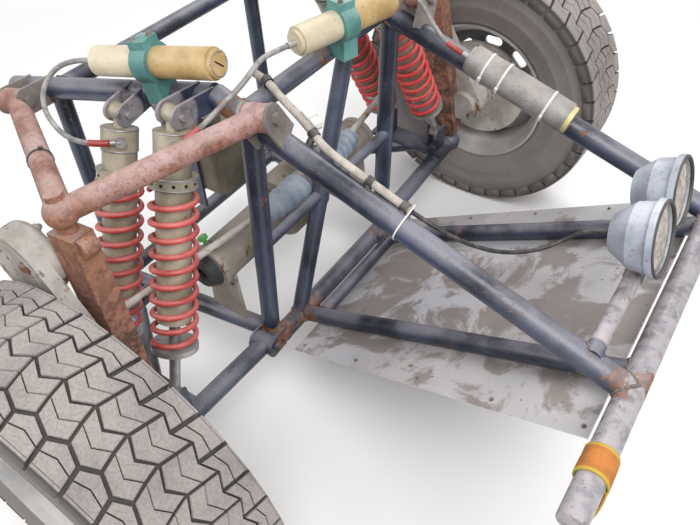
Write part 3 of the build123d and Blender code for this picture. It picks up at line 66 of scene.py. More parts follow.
# %% [markdown]
# ## The camera
# The photograph was taken from the front right corner of the vehicle, standing over the wheel and looking
# back and down. The camera was fitted to tube ends that show in the photograph, so the frame of the picture
# is the photograph's own, with no lens shift.

# %% Place the camera
CAMERA_PLACE = Vector((1.323, -0.975, 0.972))
CAMERA_YAW = 0.622
CAMERA_PITCH = 0.798
CAMERA_ROLL = 0.038
LENS_MM = 34.92
SENSOR_MM = 36.0

camera_data = bpy.data.cameras.new("camera")
camera_data.lens = LENS_MM
camera_data.sensor_width = SENSOR_MM
camera_data.sensor_fit = "HORIZONTAL"
camera_data.clip_start = 0.02
camera = bpy.data.objects.new("camera", camera_data)
bpy.context.scene.collection.objects.link(camera)
turn = (Matrix.Rotation(CAMERA_YAW, 4, "Z") @ Matrix.Rotation(pi / 2 - CAMERA_PITCH, 4, "X")
        @ Matrix.Rotation(-CAMERA_ROLL, 4, "Z"))
camera.matrix_world = Matrix.Translation(CAMERA_PLACE) @ turn
bpy.context.scene.camera = camera
print("camera at", tuple(round(v, 3) for v in CAMERA_PLACE))

# %% [markdown]
# ## Node helpers
# Every finish is a small tree of noises read in Object coordinates. The pieces sit at the origin, so these
# coordinates are the vehicle's own metres, and a patch of rust stays where it is in any view. Image textures
# would need a file and an unwrapped mesh, while a noise needs neither. The helpers below each add one node.

# %% Helpers for node trees
def link(tree, source, target):
    tree.links.new(source, target)


def start_material(name):
    material = bpy.data.materials.new(name)
    material.use_nodes = True
    tree = material.node_tree
    shader = tree.nodes["Principled BSDF"]
    place = tree.nodes.new("ShaderNodeTexCoord").outputs["Object"]
    return material, tree, shader, place


def noise(tree, place, scale, detail=4.0, rough=0.6, distortion=0.0):
    node = tree.nodes.new("ShaderNodeTexNoise")
    node.inputs["Scale"].default_value = scale
    node.inputs["Detail"].default_value = detail
    node.inputs["Roughness"].default_value = rough
    node.inputs["Distortion"].default_value = distortion
    link(tree, place, node.inputs["Vector"])
    return node.outputs["Fac"]


def span(tree, value, low, high, to_low=0.0, to_high=1.0):
    node = tree.nodes.new("ShaderNodeMapRange")
    node.interpolation_type = "SMOOTHSTEP"
    node.inputs["From Min"].default_value = low
    node.inputs["From Max"].default_value = high
    node.inputs["To Min"].default_value = to_low
    node.inputs["To Max"].default_value = to_high
    link(tree, value, node.inputs["Value"])
    return node.outputs["Result"]


def maths(tree, operation, first, second=0.0):
    node = tree.nodes.new("ShaderNodeMath")
    node.operation = operation
    for socket, value in zip(node.inputs, (first, second)):
        if isinstance(value, (int, float)):
            socket.default_value = value
        else:
            link(tree, value, socket)
    return node.outputs["Value"]


def mixed(tree, share, first, second):
    node = tree.nodes.new("ShaderNodeMix")
    node.data_type = "RGBA"
    for socket, value in ((node.inputs[0], share), (node.inputs[6], first), (node.inputs[7], second)):
        if isinstance(value, (int, float)):
            socket.default_value = value
        elif isinstance(value, tuple):
            socket.default_value = (*value, 1.0)
        else:
            link(tree, value, socket)
    return node.outputs[2]


def split(tree, vector):
    node = tree.nodes.new("ShaderNodeSeparateXYZ")
    link(tree, vector, node.inputs["Vector"])
    return node.outputs["X"], node.outputs["Y"], node.outputs["Z"]


def facing_up(tree):
    return split(tree, tree.nodes.new("ShaderNodeNewGeometry").outputs["Normal"])[2]


def bumps(tree, shader, height, distance, strength=1.0):
    node = tree.nodes.new("ShaderNodeBump")
    node.inputs["Strength"].default_value = strength
    node.inputs["Distance"].default_value = distance
    link(tree, height, node.inputs["Height"])
    link(tree, node.outputs["Normal"], shader.inputs["Normal"])


print("node helpers ready")

# %% [markdown]
# ## Weathered paint and metal
# The real vehicle has stood outside for years. Paint keeps its colour where it is sheltered, goes rusty in
# patches, and carries a film of dust on whatever faces up. On the frame tubes and the springs that film is
# also a painted highlight. One function makes that finish from the colours of the coat, the rust and the
# dust, and each surface gets its own amounts. Small flecks show bare rust between the big patches, as on a
# tube that has been hit by stones.

# %% A function for weathered surfaces
RUST_DARK = (0.075, 0.030, 0.016)
RUST_WARM = (0.26, 0.105, 0.045)
DUST = (0.36, 0.31, 0.27)


def weathered(name, coat, coat_dark, rust=0.3, dust=0.4, scale=1.0, metallic=0.0, roughness=0.5,
              bump=0.0006, rust_colours=(RUST_DARK, RUST_WARM), dust_and_sheen_colour=DUST, flecks=0.0, local=None):
    material, tree, shader, place = start_material(name)
    broad = noise(tree, place, 7 * scale, 5)
    fine = noise(tree, place, 60 * scale, 6, 0.65)
    grit = noise(tree, place, 420 * scale, 3, 0.7)
    patches = noise(tree, place, 16 * scale, 9, 0.68, 0.4)
    paint = mixed(tree, span(tree, broad, 0.35, 0.65), coat_dark, coat)
    local_rust = 0.0
    if local:
        paint, local_rust = local(tree, place, paint, broad)
    rust_colour = mixed(tree, span(tree, fine, 0.35, 0.65), *rust_colours)
    edge = 0.72 - 0.34 * rust
    pushed = maths(tree, "ADD", patches, local_rust)
    rust_mask = span(tree, pushed, edge, edge + 0.06)
    if flecks:
        small = noise(tree, place, 130 * scale, 3, 0.6)
        fleck_edge = 0.72 - 0.2 * flecks
        rust_mask = maths(tree, "MAXIMUM", rust_mask, span(tree, small, fleck_edge, fleck_edge + 0.04))
    coloured = mixed(tree, rust_mask, paint, rust_colour)
    # What faces up gets the film: dust, and on the frame tubes and the springs also a painted highlight.
    up = span(tree, facing_up(tree), 0.1, 0.95)
    settled_dust_and_sheen = maths(tree, "MULTIPLY", up, span(tree, broad, 0.3, 0.62))
    grain = maths(tree, "MULTIPLY", settled_dust_and_sheen, span(tree, grit, 0.3, 0.6, 0.55, 1.0))
    dust_and_sheen_mask = maths(tree, "MULTIPLY", grain, dust)
    link(tree, mixed(tree, dust_and_sheen_mask, coloured, dust_and_sheen_colour), shader.inputs["Base Color"])
    dulled = maths(tree, "MAXIMUM", rust_mask, dust_and_sheen_mask)
    link(tree, span(tree, dulled, 0, 1, roughness, 0.9), shader.inputs["Roughness"])
    if metallic:
        link(tree, span(tree, dulled, 0, 0.6, metallic, 0.0), shader.inputs["Metallic"])
    height = maths(tree, "ADD", maths(tree, "MULTIPLY", rust_mask, fine), maths(tree, "MULTIPLY", grit, 0.25))
    bumps(tree, shader, height, bump)
    return material


# %% [markdown]
# ## Where the wear and the painted light sit
# Wear is not the same everywhere. The tubes rust most where they meet low down, and the bumper and the lamp
# bar have lost their paint to a pale grey. On the bumper, and round the shock clevises where the metal is
# grey, the pale patches are also a painted highlight, and the knuckles' lower part carries painted shade. The
# bottles are cream on the hose side of their clamp and ochre on the other, the springs on the left are a
# deeper red, and mud has dried on the skid plate. These local changes read the position, so one finish still
# serves all the tubes.

# %% Local wear and painted light by position
JOINTS = (((0.585, -0.205, -0.300), 0.120), ((1.333, -0.240, 0.058), 0.070), ((0.560, -0.240, 0.300), 0.055),
          ((0.570, 0.000, 0.295), 0.050), ((0.590, 0.210, -0.305), 0.110), ((0.600, -0.150, -0.290), 0.090))

RIB_PITCH = 0.0084
NOSE_BOTTLE_END = (1.0214, 0.2041, 0.1953)
NOSE_BOTTLE_AXIS = (0.9549, 0.0124, -0.2966)
CLEVISES = ((0.492, -0.325, 0.318), (0.340, -0.325, 0.270), (0.492, 0.325, 0.318), (0.340, 0.325, 0.270))


def away_from(tree, place, point):
    node = tree.nodes.new("ShaderNodeVectorMath")
    node.operation = "DISTANCE"
    link(tree, place, node.inputs[0])
    node.inputs[1].default_value = point
    return node.outputs["Value"]


def worn_frame_and_highlight(tree, place, paint, broad):
    x, y, z = split(tree, place)
    near = None
    for point, reach in JOINTS:
        part = span(tree, away_from(tree, place, point), reach, reach * 0.35)
        near = part if near is None else maths(tree, "MAXIMUM", near, part)
    sheen = noise(tree, place, 34, 7, 0.7)
    bumper = span(tree, x, 1.306, 1.314)
    in_bar = maths(tree, "MULTIPLY", span(tree, x, 1.242, 1.246), span(tree, x, 1.278, 1.274))
    in_bar = maths(tree, "MULTIPLY", in_bar, span(tree, maths(tree, "ABSOLUTE", y), 0.222, 0.216))
    # Pale patches: worn paint on the bumper and the lamp bar, grey metal round the clevises; on the bumper and
    # the clevises they are also a painted highlight, broken up by the sheen noise.
    pale_wear_and_highlight = maths(tree, "MAXIMUM", maths(tree, "MULTIPLY", bumper, 0.85), in_bar)
    for point in CLEVISES:
        part = span(tree, away_from(tree, place, point), 0.048, 0.040, 0.0, 0.6)
        pale_wear_and_highlight = maths(tree, "MAXIMUM", pale_wear_and_highlight, part)
    pale_wear_and_highlight = maths(tree, "MULTIPLY", pale_wear_and_highlight, span(tree, sheen, 0.34, 0.58, 0.25, 1.0))
    return mixed(tree, pale_wear_and_highlight, paint, (0.43, 0.385, 0.385)), maths(tree, "MULTIPLY", near, 0.17)


def rusty_knuckle_and_shade(tree, place, paint, broad):
    x, y, z = split(tree, place)
    outboard = span(tree, maths(tree, "ABSOLUTE", y), 0.535, 0.575)
    rusted = mixed(tree, noise(tree, place, 45, 6, 0.7), (0.20, 0.085, 0.040), (0.42, 0.19, 0.095))
    rusty = mixed(tree, maths(tree, "MULTIPLY", outboard, 0.8), paint, rusted)
    # Painted shade: outboard, the knuckle darkens towards near black from z 0.19 down to z 0.07, broken up by
    # noise.
    shade_below = maths(tree, "MULTIPLY", outboard, span(tree, z, 0.19, 0.07, 0.0, 0.88))
    shade_below = maths(tree, "MULTIPLY", shade_below, span(tree, noise(tree, place, 20, 6, 0.7), 0.25, 0.55, 0.5, 1.0))
    return mixed(tree, shade_below, rusty, (0.055, 0.036, 0.028)), maths(tree, "MULTIPLY", outboard, 0.03)


def dirty_plate(tree, place, paint, broad):
    x, y, z = split(tree, place)
    patches = noise(tree, place, 8.5, 9, 0.66, 0.6)
    washed = span(tree, maths(tree, "ABSOLUTE", y), 0.215, 0.255, 0.06, 0.0)
    dirt = span(tree, maths(tree, "ADD", patches, washed), 0.50, 0.60, 0.0, 0.72)
    stain = span(tree, noise(tree, place, 2.6, 3), 0.42, 0.60, 0.0, 0.45)
    stained = mixed(tree, stain, paint, (0.34, 0.32, 0.33))
    return mixed(tree, dirt, stained, (0.15, 0.112, 0.088)), 0.0


def ribbed_glass(tree, place, paint, broad):
    x, y, z = split(tree, place)
    # Painted shade: dark stripes at the rib pitch stand for the shading of the ribs.
    rib = span(tree, maths(tree, "SINE", maths(tree, "MULTIPLY", y, 2 * pi / RIB_PITCH)), -1, 0.6)
    streak = span(tree, noise(tree, place, 55, 7, 0.75), 0.38, 0.66, 0.0, 0.7)
    ribbed = mixed(tree, rib, (0.17, 0.145, 0.115), paint)
    return mixed(tree, streak, ribbed, (0.62, 0.57, 0.50)), 0.0


def two_tone(tree, place, paint, broad):
    x, y, z = split(tree, place)
    off_middle = maths(tree, "ABSOLUTE", y)
    beside = maths(tree, "MULTIPLY", span(tree, x, 0.398, 0.402), span(tree, off_middle, 0.20, 0.21))
    crossing = maths(tree, "MULTIPLY", span(tree, y, 0.036, 0.040), span(tree, x, 0.56, 0.57))
    tone = maths(tree, "MINIMUM", maths(tree, "ADD", beside, crossing), 1.0)
    ochre = mixed(tree, span(tree, broad, 0.35, 0.65), (0.36, 0.23, 0.085), (0.56, 0.40, 0.18))
    return mixed(tree, tone, paint, ochre), maths(tree, "MULTIPLY", tone, 0.02)


def stained_bottle(tree, place, paint, broad):
    x, y, z = split(tree, place)
    dirt = span(tree, noise(tree, place, 30, 7, 0.7), 0.42, 0.66)
    browned = mixed(tree, maths(tree, "MULTIPLY", dirt, 0.7), paint, (0.20, 0.17, 0.14))
    node = tree.nodes.new("ShaderNodeVectorMath")
    node.operation = "DOT_PRODUCT"
    link(tree, place, node.inputs[0])
    node.inputs[1].default_value = NOSE_BOTTLE_AXIS
    plug = Vector(NOSE_BOTTLE_AXIS).dot(Vector(NOSE_BOTTLE_END))
    return mixed(tree, span(tree, node.outputs["Value"], plug - 0.0005, plug + 0.0005), browned,
                 (0.62, 0.55, 0.24)), 0.0


def redder_left(tree, place, paint, broad):
    x, y, z = split(tree, place)
    return mixed(tree, span(tree, y, -0.05, 0.05, 0.0, 0.85), paint, (0.62, 0.026, 0.030)), 0.0


ARM_RUST = ((0.16, 0.070, 0.050), (0.34, 0.160, 0.110))
finishes = {
    "rusty_arm": weathered("rusty_arm", (0.38, 0.215, 0.185), (0.22, 0.100, 0.078), 0.66, 0.60, 1.3,
                           roughness=0.75, bump=0.0011, rust_colours=ARM_RUST,
                           dust_and_sheen_colour=(0.52, 0.41, 0.39), flecks=0.75, local=rusty_knuckle_and_shade),
    "bracket_beige": weathered("bracket_beige", (0.25, 0.22, 0.20), (0.15, 0.13, 0.12), 0.40, 0.4, 1.6,
                               roughness=0.7, flecks=0.4),
    "housing_iron": weathered("housing_iron", (0.36, 0.32, 0.27), (0.22, 0.19, 0.16), 0.35, 0.4, 1.3,
                              roughness=0.8, flecks=0.3),
    "seal_rubber": weathered("seal_rubber", (0.020, 0.020, 0.021), (0.012, 0.012, 0.013), 0.0, 0.15, 2.0,
                             roughness=0.6),
    "clip_black": weathered("clip_black", (0.035, 0.035, 0.036), (0.022, 0.022, 0.022), 0.0, 0.25, 2.0,
                            roughness=0.6),
    "plate_aluminium": weathered("plate_aluminium", (0.68, 0.68, 0.71), (0.54, 0.54, 0.57), 0.18, 0.35, 0.6,
                                 metallic=0.25, roughness=0.30, flecks=0.15, dust_and_sheen_colour=(0.30, 0.255, 0.225),
                                 local=dirty_plate),
    "cast_metal": weathered("cast_metal", (0.50, 0.465, 0.43), (0.30, 0.27, 0.24), 0.42, 0.4, 1.6,
                            metallic=0.1, roughness=0.68, flecks=0.3, dust_and_sheen_colour=(0.56, 0.53, 0.50)),
    "rim_silver": weathered("rim_silver", (0.52, 0.51, 0.50), (0.34, 0.33, 0.33), 0.16, 0.3, 1.2,
                            metallic=0.3, roughness=0.5),
    "boot_rubber": weathered("boot_rubber", (0.30, 0.37, 0.45), (0.17, 0.21, 0.27), 0.0, 0.3, 1.6,
                             roughness=0.6),
    "shock_gold": weathered("shock_gold", (0.47, 0.42, 0.32), (0.27, 0.235, 0.17), 0.20, 0.30, 1.8,
                            metallic=0.25, roughness=0.45),
    "rod_steel": weathered("rod_steel", (0.42, 0.41, 0.40), (0.25, 0.24, 0.24), 0.35, 0.2, 2.0,
                           metallic=0.6, roughness=0.42),
    # On the springs the pinkish film on top is faded paint and dust and also a painted highlight.
    "spring_red": weathered("spring_red", (0.60, 0.085, 0.075), (0.38, 0.045, 0.040), 0.10, 0.40, 2.0,
                            roughness=0.42, flecks=0.15, dust_and_sheen_colour=(0.62, 0.34, 0.32), local=redder_left),
    "clamp_teal": weathered("clamp_teal", (0.13, 0.34, 0.31), (0.07, 0.20, 0.19), 0.14, 0.3, 2.0,
                            metallic=0.2, roughness=0.45, flecks=0.25),
    "tank_plastic": weathered("tank_plastic", (0.20, 0.18, 0.125), (0.11, 0.095, 0.065), 0.0, 0.5, 1.2,
                              roughness=0.5),
    "lamp_shell": weathered("lamp_shell", (0.44, 0.47, 0.55), (0.27, 0.29, 0.35), 0.20, 0.40, 1.6,
                            roughness=0.36, flecks=0.35, dust_and_sheen_colour=(0.66, 0.66, 0.70)),
    "lamp_glass": weathered("lamp_glass", (0.46, 0.41, 0.34), (0.26, 0.22, 0.17), 0.10, 0.4, 1.6,
                            roughness=0.12, bump=0.0001, flecks=0.3, local=ribbed_glass),
    "sleeve_red": weathered("sleeve_red", (0.42, 0.045, 0.040), (0.26, 0.030, 0.028), 0.0, 0.25, 3.0,
                            roughness=0.4),
    "zip_white": weathered("zip_white", (0.74, 0.73, 0.70), (0.58, 0.57, 0.54), 0.0, 0.2, 3.0, roughness=0.5),
    "cap_green": weathered("cap_green", (0.10, 0.42, 0.09), (0.06, 0.30, 0.05), 0.0, 0.15, 3.0,
                           roughness=0.4),
    "bolt_steel": weathered("bolt_steel", (0.34, 0.31, 0.29), (0.17, 0.15, 0.14), 0.35, 0.3, 3.0,
                            metallic=0.5, roughness=0.5, flecks=0.3),
    "weld_metal": weathered("weld_metal", (0.12, 0.10, 0.095), (0.05, 0.045, 0.045), 0.5, 0.4, 2.5,
                            roughness=0.7, flecks=0.4),
    # Near black: painted shade for the spanner holes and the bottle slots.
    "dark_hole": weathered("dark_hole", (0.012, 0.011, 0.010), (0.006, 0.006, 0.006), 0.0, 0.0, 2.0,
                           roughness=0.9),
}
# On the frame tubes the pale film on top is dust and also a painted sheen.
finishes["frame_paint"] = weathered("frame_paint", (0.046, 0.060, 0.105), (0.014, 0.018, 0.032), 0.27,
                                    0.44, roughness=0.29, flecks=0.36, dust_and_sheen_colour=(0.40, 0.375, 0.395),
                                    local=worn_frame_and_highlight)
finishes["bottle_cream"] = weathered("bottle_cream", (0.66, 0.59, 0.43), (0.50, 0.43, 0.29), 0.14, 0.25, 1.6,
                                     roughness=0.42, flecks=0.25, local=two_tone)
finishes["bottle_grey"] = weathered("bottle_grey", (0.33, 0.32, 0.315), (0.17, 0.165, 0.16), 0.12, 0.35, 1.6,
                                    metallic=0.2, roughness=0.5, flecks=0.3, local=stained_bottle)
print("finishes:", len(finishes))

# %% [markdown]
# ## Rubber, braid and webbing
# Some finishes follow the piece itself. The tyre is pale with dust on top of its blocks and has painted
# shade down in its grooves, so its colour follows the distance from the wheel's axle. The hose braid, the
# conduit's ribs and the webbing follow their own UV maps, whose U runs along the piece in metres, and the
# hollows of the conduit's ribs and of the webbing's weave carry painted shade.

# %% Tyre rubber by the distance from the axle
AXLE_X = 0.608
AXLE_Z = -0.138
WHEEL_Y = 0.775
TYRE_R = 0.370

material, tree, shader, place = start_material("tyre_rubber")
across, width, rise = split(tree, place)
from_x = maths(tree, "SUBTRACT", across, AXLE_X)
from_z = maths(tree, "SUBTRACT", rise, AXLE_Z)
squares = maths(tree, "ADD", maths(tree, "MULTIPLY", from_x, from_x), maths(tree, "MULTIPLY", from_z, from_z))
reach = maths(tree, "SQRT", squares)
grime = noise(tree, place, 9, 6, 0.6)
speckle = noise(tree, place, 240, 4, 0.7)
rubber = mixed(tree, span(tree, grime, 0.35, 0.65), (0.075, 0.069, 0.065), (0.125, 0.115, 0.108))
dusted = mixed(tree, span(tree, speckle, 0.30, 0.62, 0.35, 1.0), (0.19, 0.170, 0.160), (0.33, 0.295, 0.28))
on_top = span(tree, reach, 0.3595, 0.3655)
film = maths(tree, "MULTIPLY", on_top, span(tree, grime, 0.25, 0.6, 0.55, 1.0))
side_dust = maths(tree, "MULTIPLY", span(tree, reach, 0.36, 0.30), 0.45)
# Painted shade: the groove floors, between radius 0.358 and 0.3615, are darkened towards near black.
groove_shade = maths(tree, "MULTIPLY", span(tree, reach, 0.352, 0.358), span(tree, reach, 0.3655, 0.3615))
cover = maths(tree, "MAXIMUM", film, side_dust)
colour = mixed(tree, cover, rubber, dusted)
link(tree, mixed(tree, maths(tree, "MULTIPLY", groove_shade, 0.70), colour, (0.045, 0.039, 0.035)),
     shader.inputs["Base Color"])
shader.inputs["Roughness"].default_value = 0.9
bumps(tree, shader, speckle, 0.0005)
finishes["tyre_rubber"] = material
print("tyre rubber ready")

# %% Braid, conduit, cable and webbing by their own UV maps
def along_piece(tree):
    texture = tree.nodes.new("ShaderNodeTexCoord").outputs["UV"]
    return split(tree, texture)[:2]


def wave(tree, value, repeats):
    return span(tree, maths(tree, "SINE", maths(tree, "MULTIPLY", value, repeats * 2 * pi)), -1, 1)


material, tree, shader, place = start_material("hose_braid")
run, girth = along_piece(tree)
STRANDS_A_METRE = 180.0
STRANDS_ROUND = 8.0
climb = maths(tree, "MULTIPLY", run, STRANDS_A_METRE)
wind = maths(tree, "MULTIPLY", girth, STRANDS_ROUND)
weave = maths(tree, "MAXIMUM", wave(tree, maths(tree, "ADD", climb, wind), 1),
              wave(tree, maths(tree, "SUBTRACT", climb, wind), 1))
grime = noise(tree, place, 40, 5)
steel = mixed(tree, span(tree, grime, 0.35, 0.65), (0.24, 0.23, 0.225), (0.50, 0.48, 0.465))
link(tree, mixed(tree, weave, (0.10, 0.093, 0.09), steel), shader.inputs["Base Color"])
shader.inputs["Roughness"].default_value = 0.62
shader.inputs["Metallic"].default_value = 0.25
bumps(tree, shader, weave, 0.0005)
finishes["hose_braid"] = material

material, tree, shader, place = start_material("conduit_cream")
run, girth = along_piece(tree)
rib = wave(tree, run, 260.0)
grime = noise(tree, place, 26, 6, 0.65)
plastic = mixed(tree, span(tree, grime, 0.32, 0.66), (0.36, 0.31, 0.27), (0.66, 0.60, 0.54))
# Painted shade: the troughs between the ribs are darkened.
shaded = mixed(tree, span(tree, rib, 0, 1, 0.45, 1.0), (0.24, 0.21, 0.18), plastic)
link(tree, shaded, shader.inputs["Base Color"])
shader.inputs["Roughness"].default_value = 0.75
bumps(tree, shader, rib, 0.0005)
finishes["conduit_cream"] = material

material, tree, shader, place = start_material("cable_black")
grime = noise(tree, place, 50, 5)
link(tree, mixed(tree, span(tree, grime, 0.4, 0.7), (0.016, 0.016, 0.017), (0.10, 0.09, 0.08)),
     shader.inputs["Base Color"])
shader.inputs["Roughness"].default_value = 0.5
bumps(tree, shader, noise(tree, place, 500, 2), 0.0002)
finishes["cable_black"] = material

material, tree, shader, place = start_material("strap_webbing")
run, girth = along_piece(tree)
pick = wave(tree, run, 330.0)
rank = wave(tree, girth, 9.0)
cloth = maths(tree, "MULTIPLY", pick, span(tree, rank, 0, 1, 0.4, 1.0))
grime = noise(tree, place, 24, 6, 0.65)
orange = mixed(tree, span(tree, grime, 0.3, 0.68), (0.36, 0.13, 0.035), (0.66, 0.24, 0.055))
border = maths(tree, "MAXIMUM", span(tree, girth, 0.12, 0.08), span(tree, girth, 0.88, 0.92))
edged = mixed(tree, border, orange, (0.62, 0.45, 0.06))
# Painted shade: the hollows of the weave are darkened.
hollow_shade = maths(tree, "MULTIPLY", maths(tree, "SUBTRACT", 1.0, cloth), 0.3)
link(tree, mixed(tree, hollow_shade, edged, (0.16, 0.06, 0.02)), shader.inputs["Base Color"])
shader.inputs["Roughness"].default_value = 0.92
bumps(tree, shader, cloth, 0.0006)
finishes["strap_webbing"] = material
print("finishes in all:", len(finishes))

# %% [markdown]
# ## Give every CAD node its finish
# The record names a slot for each node, so the same names choose the finish here.

# %% Assign the finishes
for entry in frame["record"]["subparts"]:
    surface = nodes[entry["node"]].data
    surface.materials.clear()
    surface.materials.append(finishes[entry["material_slot"]])

# %% [markdown]
# ## Tubes along a path
# Hoses, springs and rims all need the same thing: a ring carried along a line of points. A bevelled curve
# would do it too, but a ring that turns as little as it can from point to point keeps the braid from winding
# up. Each tube gets a UV map with metres along it, and its two ends are closed.

# %% Build a tube along points
def add_piece(name, mesh, finish, body, smooth=True):
    mesh.materials.clear()
    mesh.materials.append(finishes[finish])
    for face in mesh.polygons:
        face.use_smooth = smooth
    piece = bpy.data.objects.new(name, mesh)
    bpy.context.scene.collection.objects.link(piece)
    if body:
        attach(piece, body)
    return piece


def tube_into(form, layer, line, radius, sides=12, closed=False):
    count = len(line)
    normal = None
    rings = []
    travelled = 0.0
    distances = []
    for index, point in enumerate(line):
        before = line[(index - 1) % count] if closed or index else point
        after = line[(index + 1) % count] if closed or index < count - 1 else point
        forward = (after - before).normalized()
        if normal is None:
            normal = forward.orthogonal().normalized()
        normal = (normal - forward * normal.dot(forward)).normalized()
        side = forward.cross(normal)
        ring = []
        for step in range(sides):
            angle = 2 * pi * step / sides
            ring.append(form.verts.new(point + (normal * cos(angle) + side * sin(angle)) * radius))
        rings.append(ring)
        travelled += (point - line[index - 1]).length if index else 0.0
        distances.append(travelled)
    for index in range(count if closed else count - 1):
        here, there = rings[index], rings[(index + 1) % count]
        for step in range(sides):
            nxt = (step + 1) % sides
            face = form.faces.new((here[step], here[nxt], there[nxt], there[step]))
            ends = ((distances[index], step), (distances[index], step + 1),
                    (distances[(index + 1) % count], step + 1), (distances[(index + 1) % count], step))
            for loop, (u, v) in zip(face.loops, ends):
                loop[layer].uv = (u, v / sides)
    if not closed:
        form.faces.new(list(reversed(rings[0])))
        form.faces.new(rings[-1])


def tube_mesh(name, lines, radius, sides=12, closed=False):
    form = bmesh.new()
    layer = form.loops.layers.uv.new("UVMap")
    for line in lines:
        tube_into(form, layer, line, radius, sides, closed)
    mesh = bpy.data.meshes.new(name)
    form.to_mesh(mesh)
    form.free()
    return mesh


print("tube builder ready")

# %% [markdown]
# ## Shock hoses and the lamp cable
# Each coilover is joined to its bottle by a short braided hose. A hose like this is stiff and springs out of
# its banjo in one smooth line, so its route is a NURBS curve whose control points are the corners of the CAD
# tube's route. The braided tube then follows points read from that curve. A red sleeve covers the banjo end,
# and the hose to the nose bottle has one at each end.

# %% Hoses and the lamp cable
HOSE_R = 0.005
CABLE_R = 0.004
SLEEVE_R = 0.0064
SLEEVE_LEN = 0.034
REAR_HOSE = ((0.3652, -0.3813, 0.2427), (0.3420, -0.4080, 0.2480), (0.2980, -0.4200, 0.2520),
             (0.2500, -0.4100, 0.2570), (0.2030, -0.3920, 0.2620), (0.1690, -0.3640, 0.2810),
             (0.1690, -0.3250, 0.3080), (0.2041, -0.2986, 0.3248), (0.2487, -0.2916, 0.3335))
CROSS_HOSE = ((0.5363, -0.3516, 0.2939), (0.5510, -0.3200, 0.3080), (0.5690, -0.2810, 0.3360),
              (0.5810, -0.2350, 0.3580), (0.5760, -0.1840, 0.3740), (0.5584, -0.1418, 0.3620),
              (0.5701, -0.0953, 0.3620))
NOSE_HOSE = ((0.5363, 0.3516, 0.2939), (0.5510, 0.3200, 0.3080), (0.5690, 0.2810, 0.3360),
             (0.5920, 0.2430, 0.3620), (0.6320, 0.2170, 0.3720), (0.6780, 0.2060, 0.3520),
             (0.7120, 0.2020, 0.3120), (0.7425, 0.2004, 0.2820), (0.7835, 0.2010, 0.2693))
LAMP_CABLE = ((0.9120, -0.2194, 0.2130), (0.9480, -0.2100, 0.1920), (0.9840, -0.1940, 0.1680),
              (1.0140, -0.1680, 0.1420), (1.0440, -0.1380, 0.1200), (1.0740, -0.1040, 0.1060),
              (1.1040, -0.0700, 0.1040), (1.1300, -0.0440, 0.1180), (1.1623, -0.0300, 0.1493),
              (1.1948, -0.0300, 0.1593))
CORD_TABLE = (
    {"node": "hose_rear_right", "route": REAR_HOSE, "side": 1, "radius": HOSE_R, "sleeves": 1},
    {"node": "hose_rear_left", "route": REAR_HOSE, "side": -1, "radius": HOSE_R, "sleeves": 1},
    {"node": "hose_front_right", "route": CROSS_HOSE, "side": 1, "radius": HOSE_R, "sleeves": 1},
    {"node": "hose_front_left", "route": NOSE_HOSE, "side": 1, "radius": HOSE_R, "sleeves": 2},
    {"node": "lamp_cable", "route": LAMP_CABLE, "side": 1, "radius": CABLE_R, "sleeves": 0},
)


def smooth_line(name, route):
    curve = bpy.data.curves.new(name, "CURVE")
    curve.dimensions = "3D"
    curve.resolution_u = 10
    spline = curve.splines.new("NURBS")
    spline.points.add(len(route) - 1)
    for control, place in zip(spline.points, route):
        control.co = (*place, 1.0)
    spline.order_u = 3
    spline.use_endpoint_u = True
    holder = bpy.data.objects.new(name, curve)
    bpy.context.scene.collection.objects.link(holder)
    bpy.context.view_layer.update()
    flat = bpy.data.meshes.new_from_object(holder.evaluated_get(bpy.context.evaluated_depsgraph_get()))
    line = [vertex.co.copy() for vertex in flat.vertices]
    bpy.data.objects.remove(holder)
    bpy.data.meshes.remove(flat)
    return line


def line_length(line):
    return sum((b - a).length for a, b in zip(line[:-1], line[1:]))


def first_stretch(line, reach):
    kept = [line[0]]
    gone = 0.0
    for here, there in zip(line[:-1], line[1:]):
        gone += (there - here).length
        kept.append(there)
        if gone >= reach:
            break
    return kept


for row in CORD_TABLE:
    route = [(x, y * row["side"], z) for x, y, z in row["route"]]
    line = smooth_line(row["node"] + "_route", route)
    mesh = tube_mesh(row["node"] + "_tube", [line], row["radius"], 16)
    cord = add_piece(row["node"] + "_cord", mesh, "hose_braid" if row["sleeves"] else "cable_black", "frame")
    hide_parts(row["node"])
    if row["sleeves"]:
        ends = [first_stretch(line, SLEEVE_LEN), first_stretch(list(reversed(line)), SLEEVE_LEN)]
        sleeve_mesh = tube_mesh(row["node"] + "_sleeves", ends[:row["sleeves"]], SLEEVE_R, 16)
        sleeves = add_piece(row["node"] + "_sleeves", sleeve_mesh, "sleeve_red", "frame")
    print(row["node"], "length", round(line_length(line), 3))

# %% [markdown]
# ## Wiring conduit
# The lamp wires run in ribbed split conduit that is clipped along the right-hand nose tube. The frame holds
# it all the way, so it is not a free cord. Its ribs are a bump that follows the tube's length, with painted
# shade in their troughs.

# %% Conduit along the nose tube
CONDUIT_R = 0.0075
CONDUIT = ((0.5320, -0.1500, 0.3220), (0.5720, -0.1630, 0.3260), (0.6180, -0.1834, 0.3164),
           (0.6740, -0.1932, 0.2940), (0.7320, -0.2140, 0.2689), (0.7960, -0.2168, 0.2500),
           (0.8600, -0.2167, 0.2281), (0.9120, -0.2194, 0.2130))
line = smooth_line("conduit_route", CONDUIT)
conduit_mesh = tube_mesh("conduit", [line], CONDUIT_R, 20)
conduit = add_piece("wiring_conduit_ribbed", conduit_mesh, "conduit_cream", "frame")
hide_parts("wiring_conduit")
print("conduit length", round(line_length(line), 3))

# %% [markdown]
# ## Springs
# A coilover's spring is one round bar wound to an even pitch. A helix has a simple rule, so its points come
# from the pitch and the number of turns, and the tube builder carries the bar along them, smooth enough that
# no facets show.

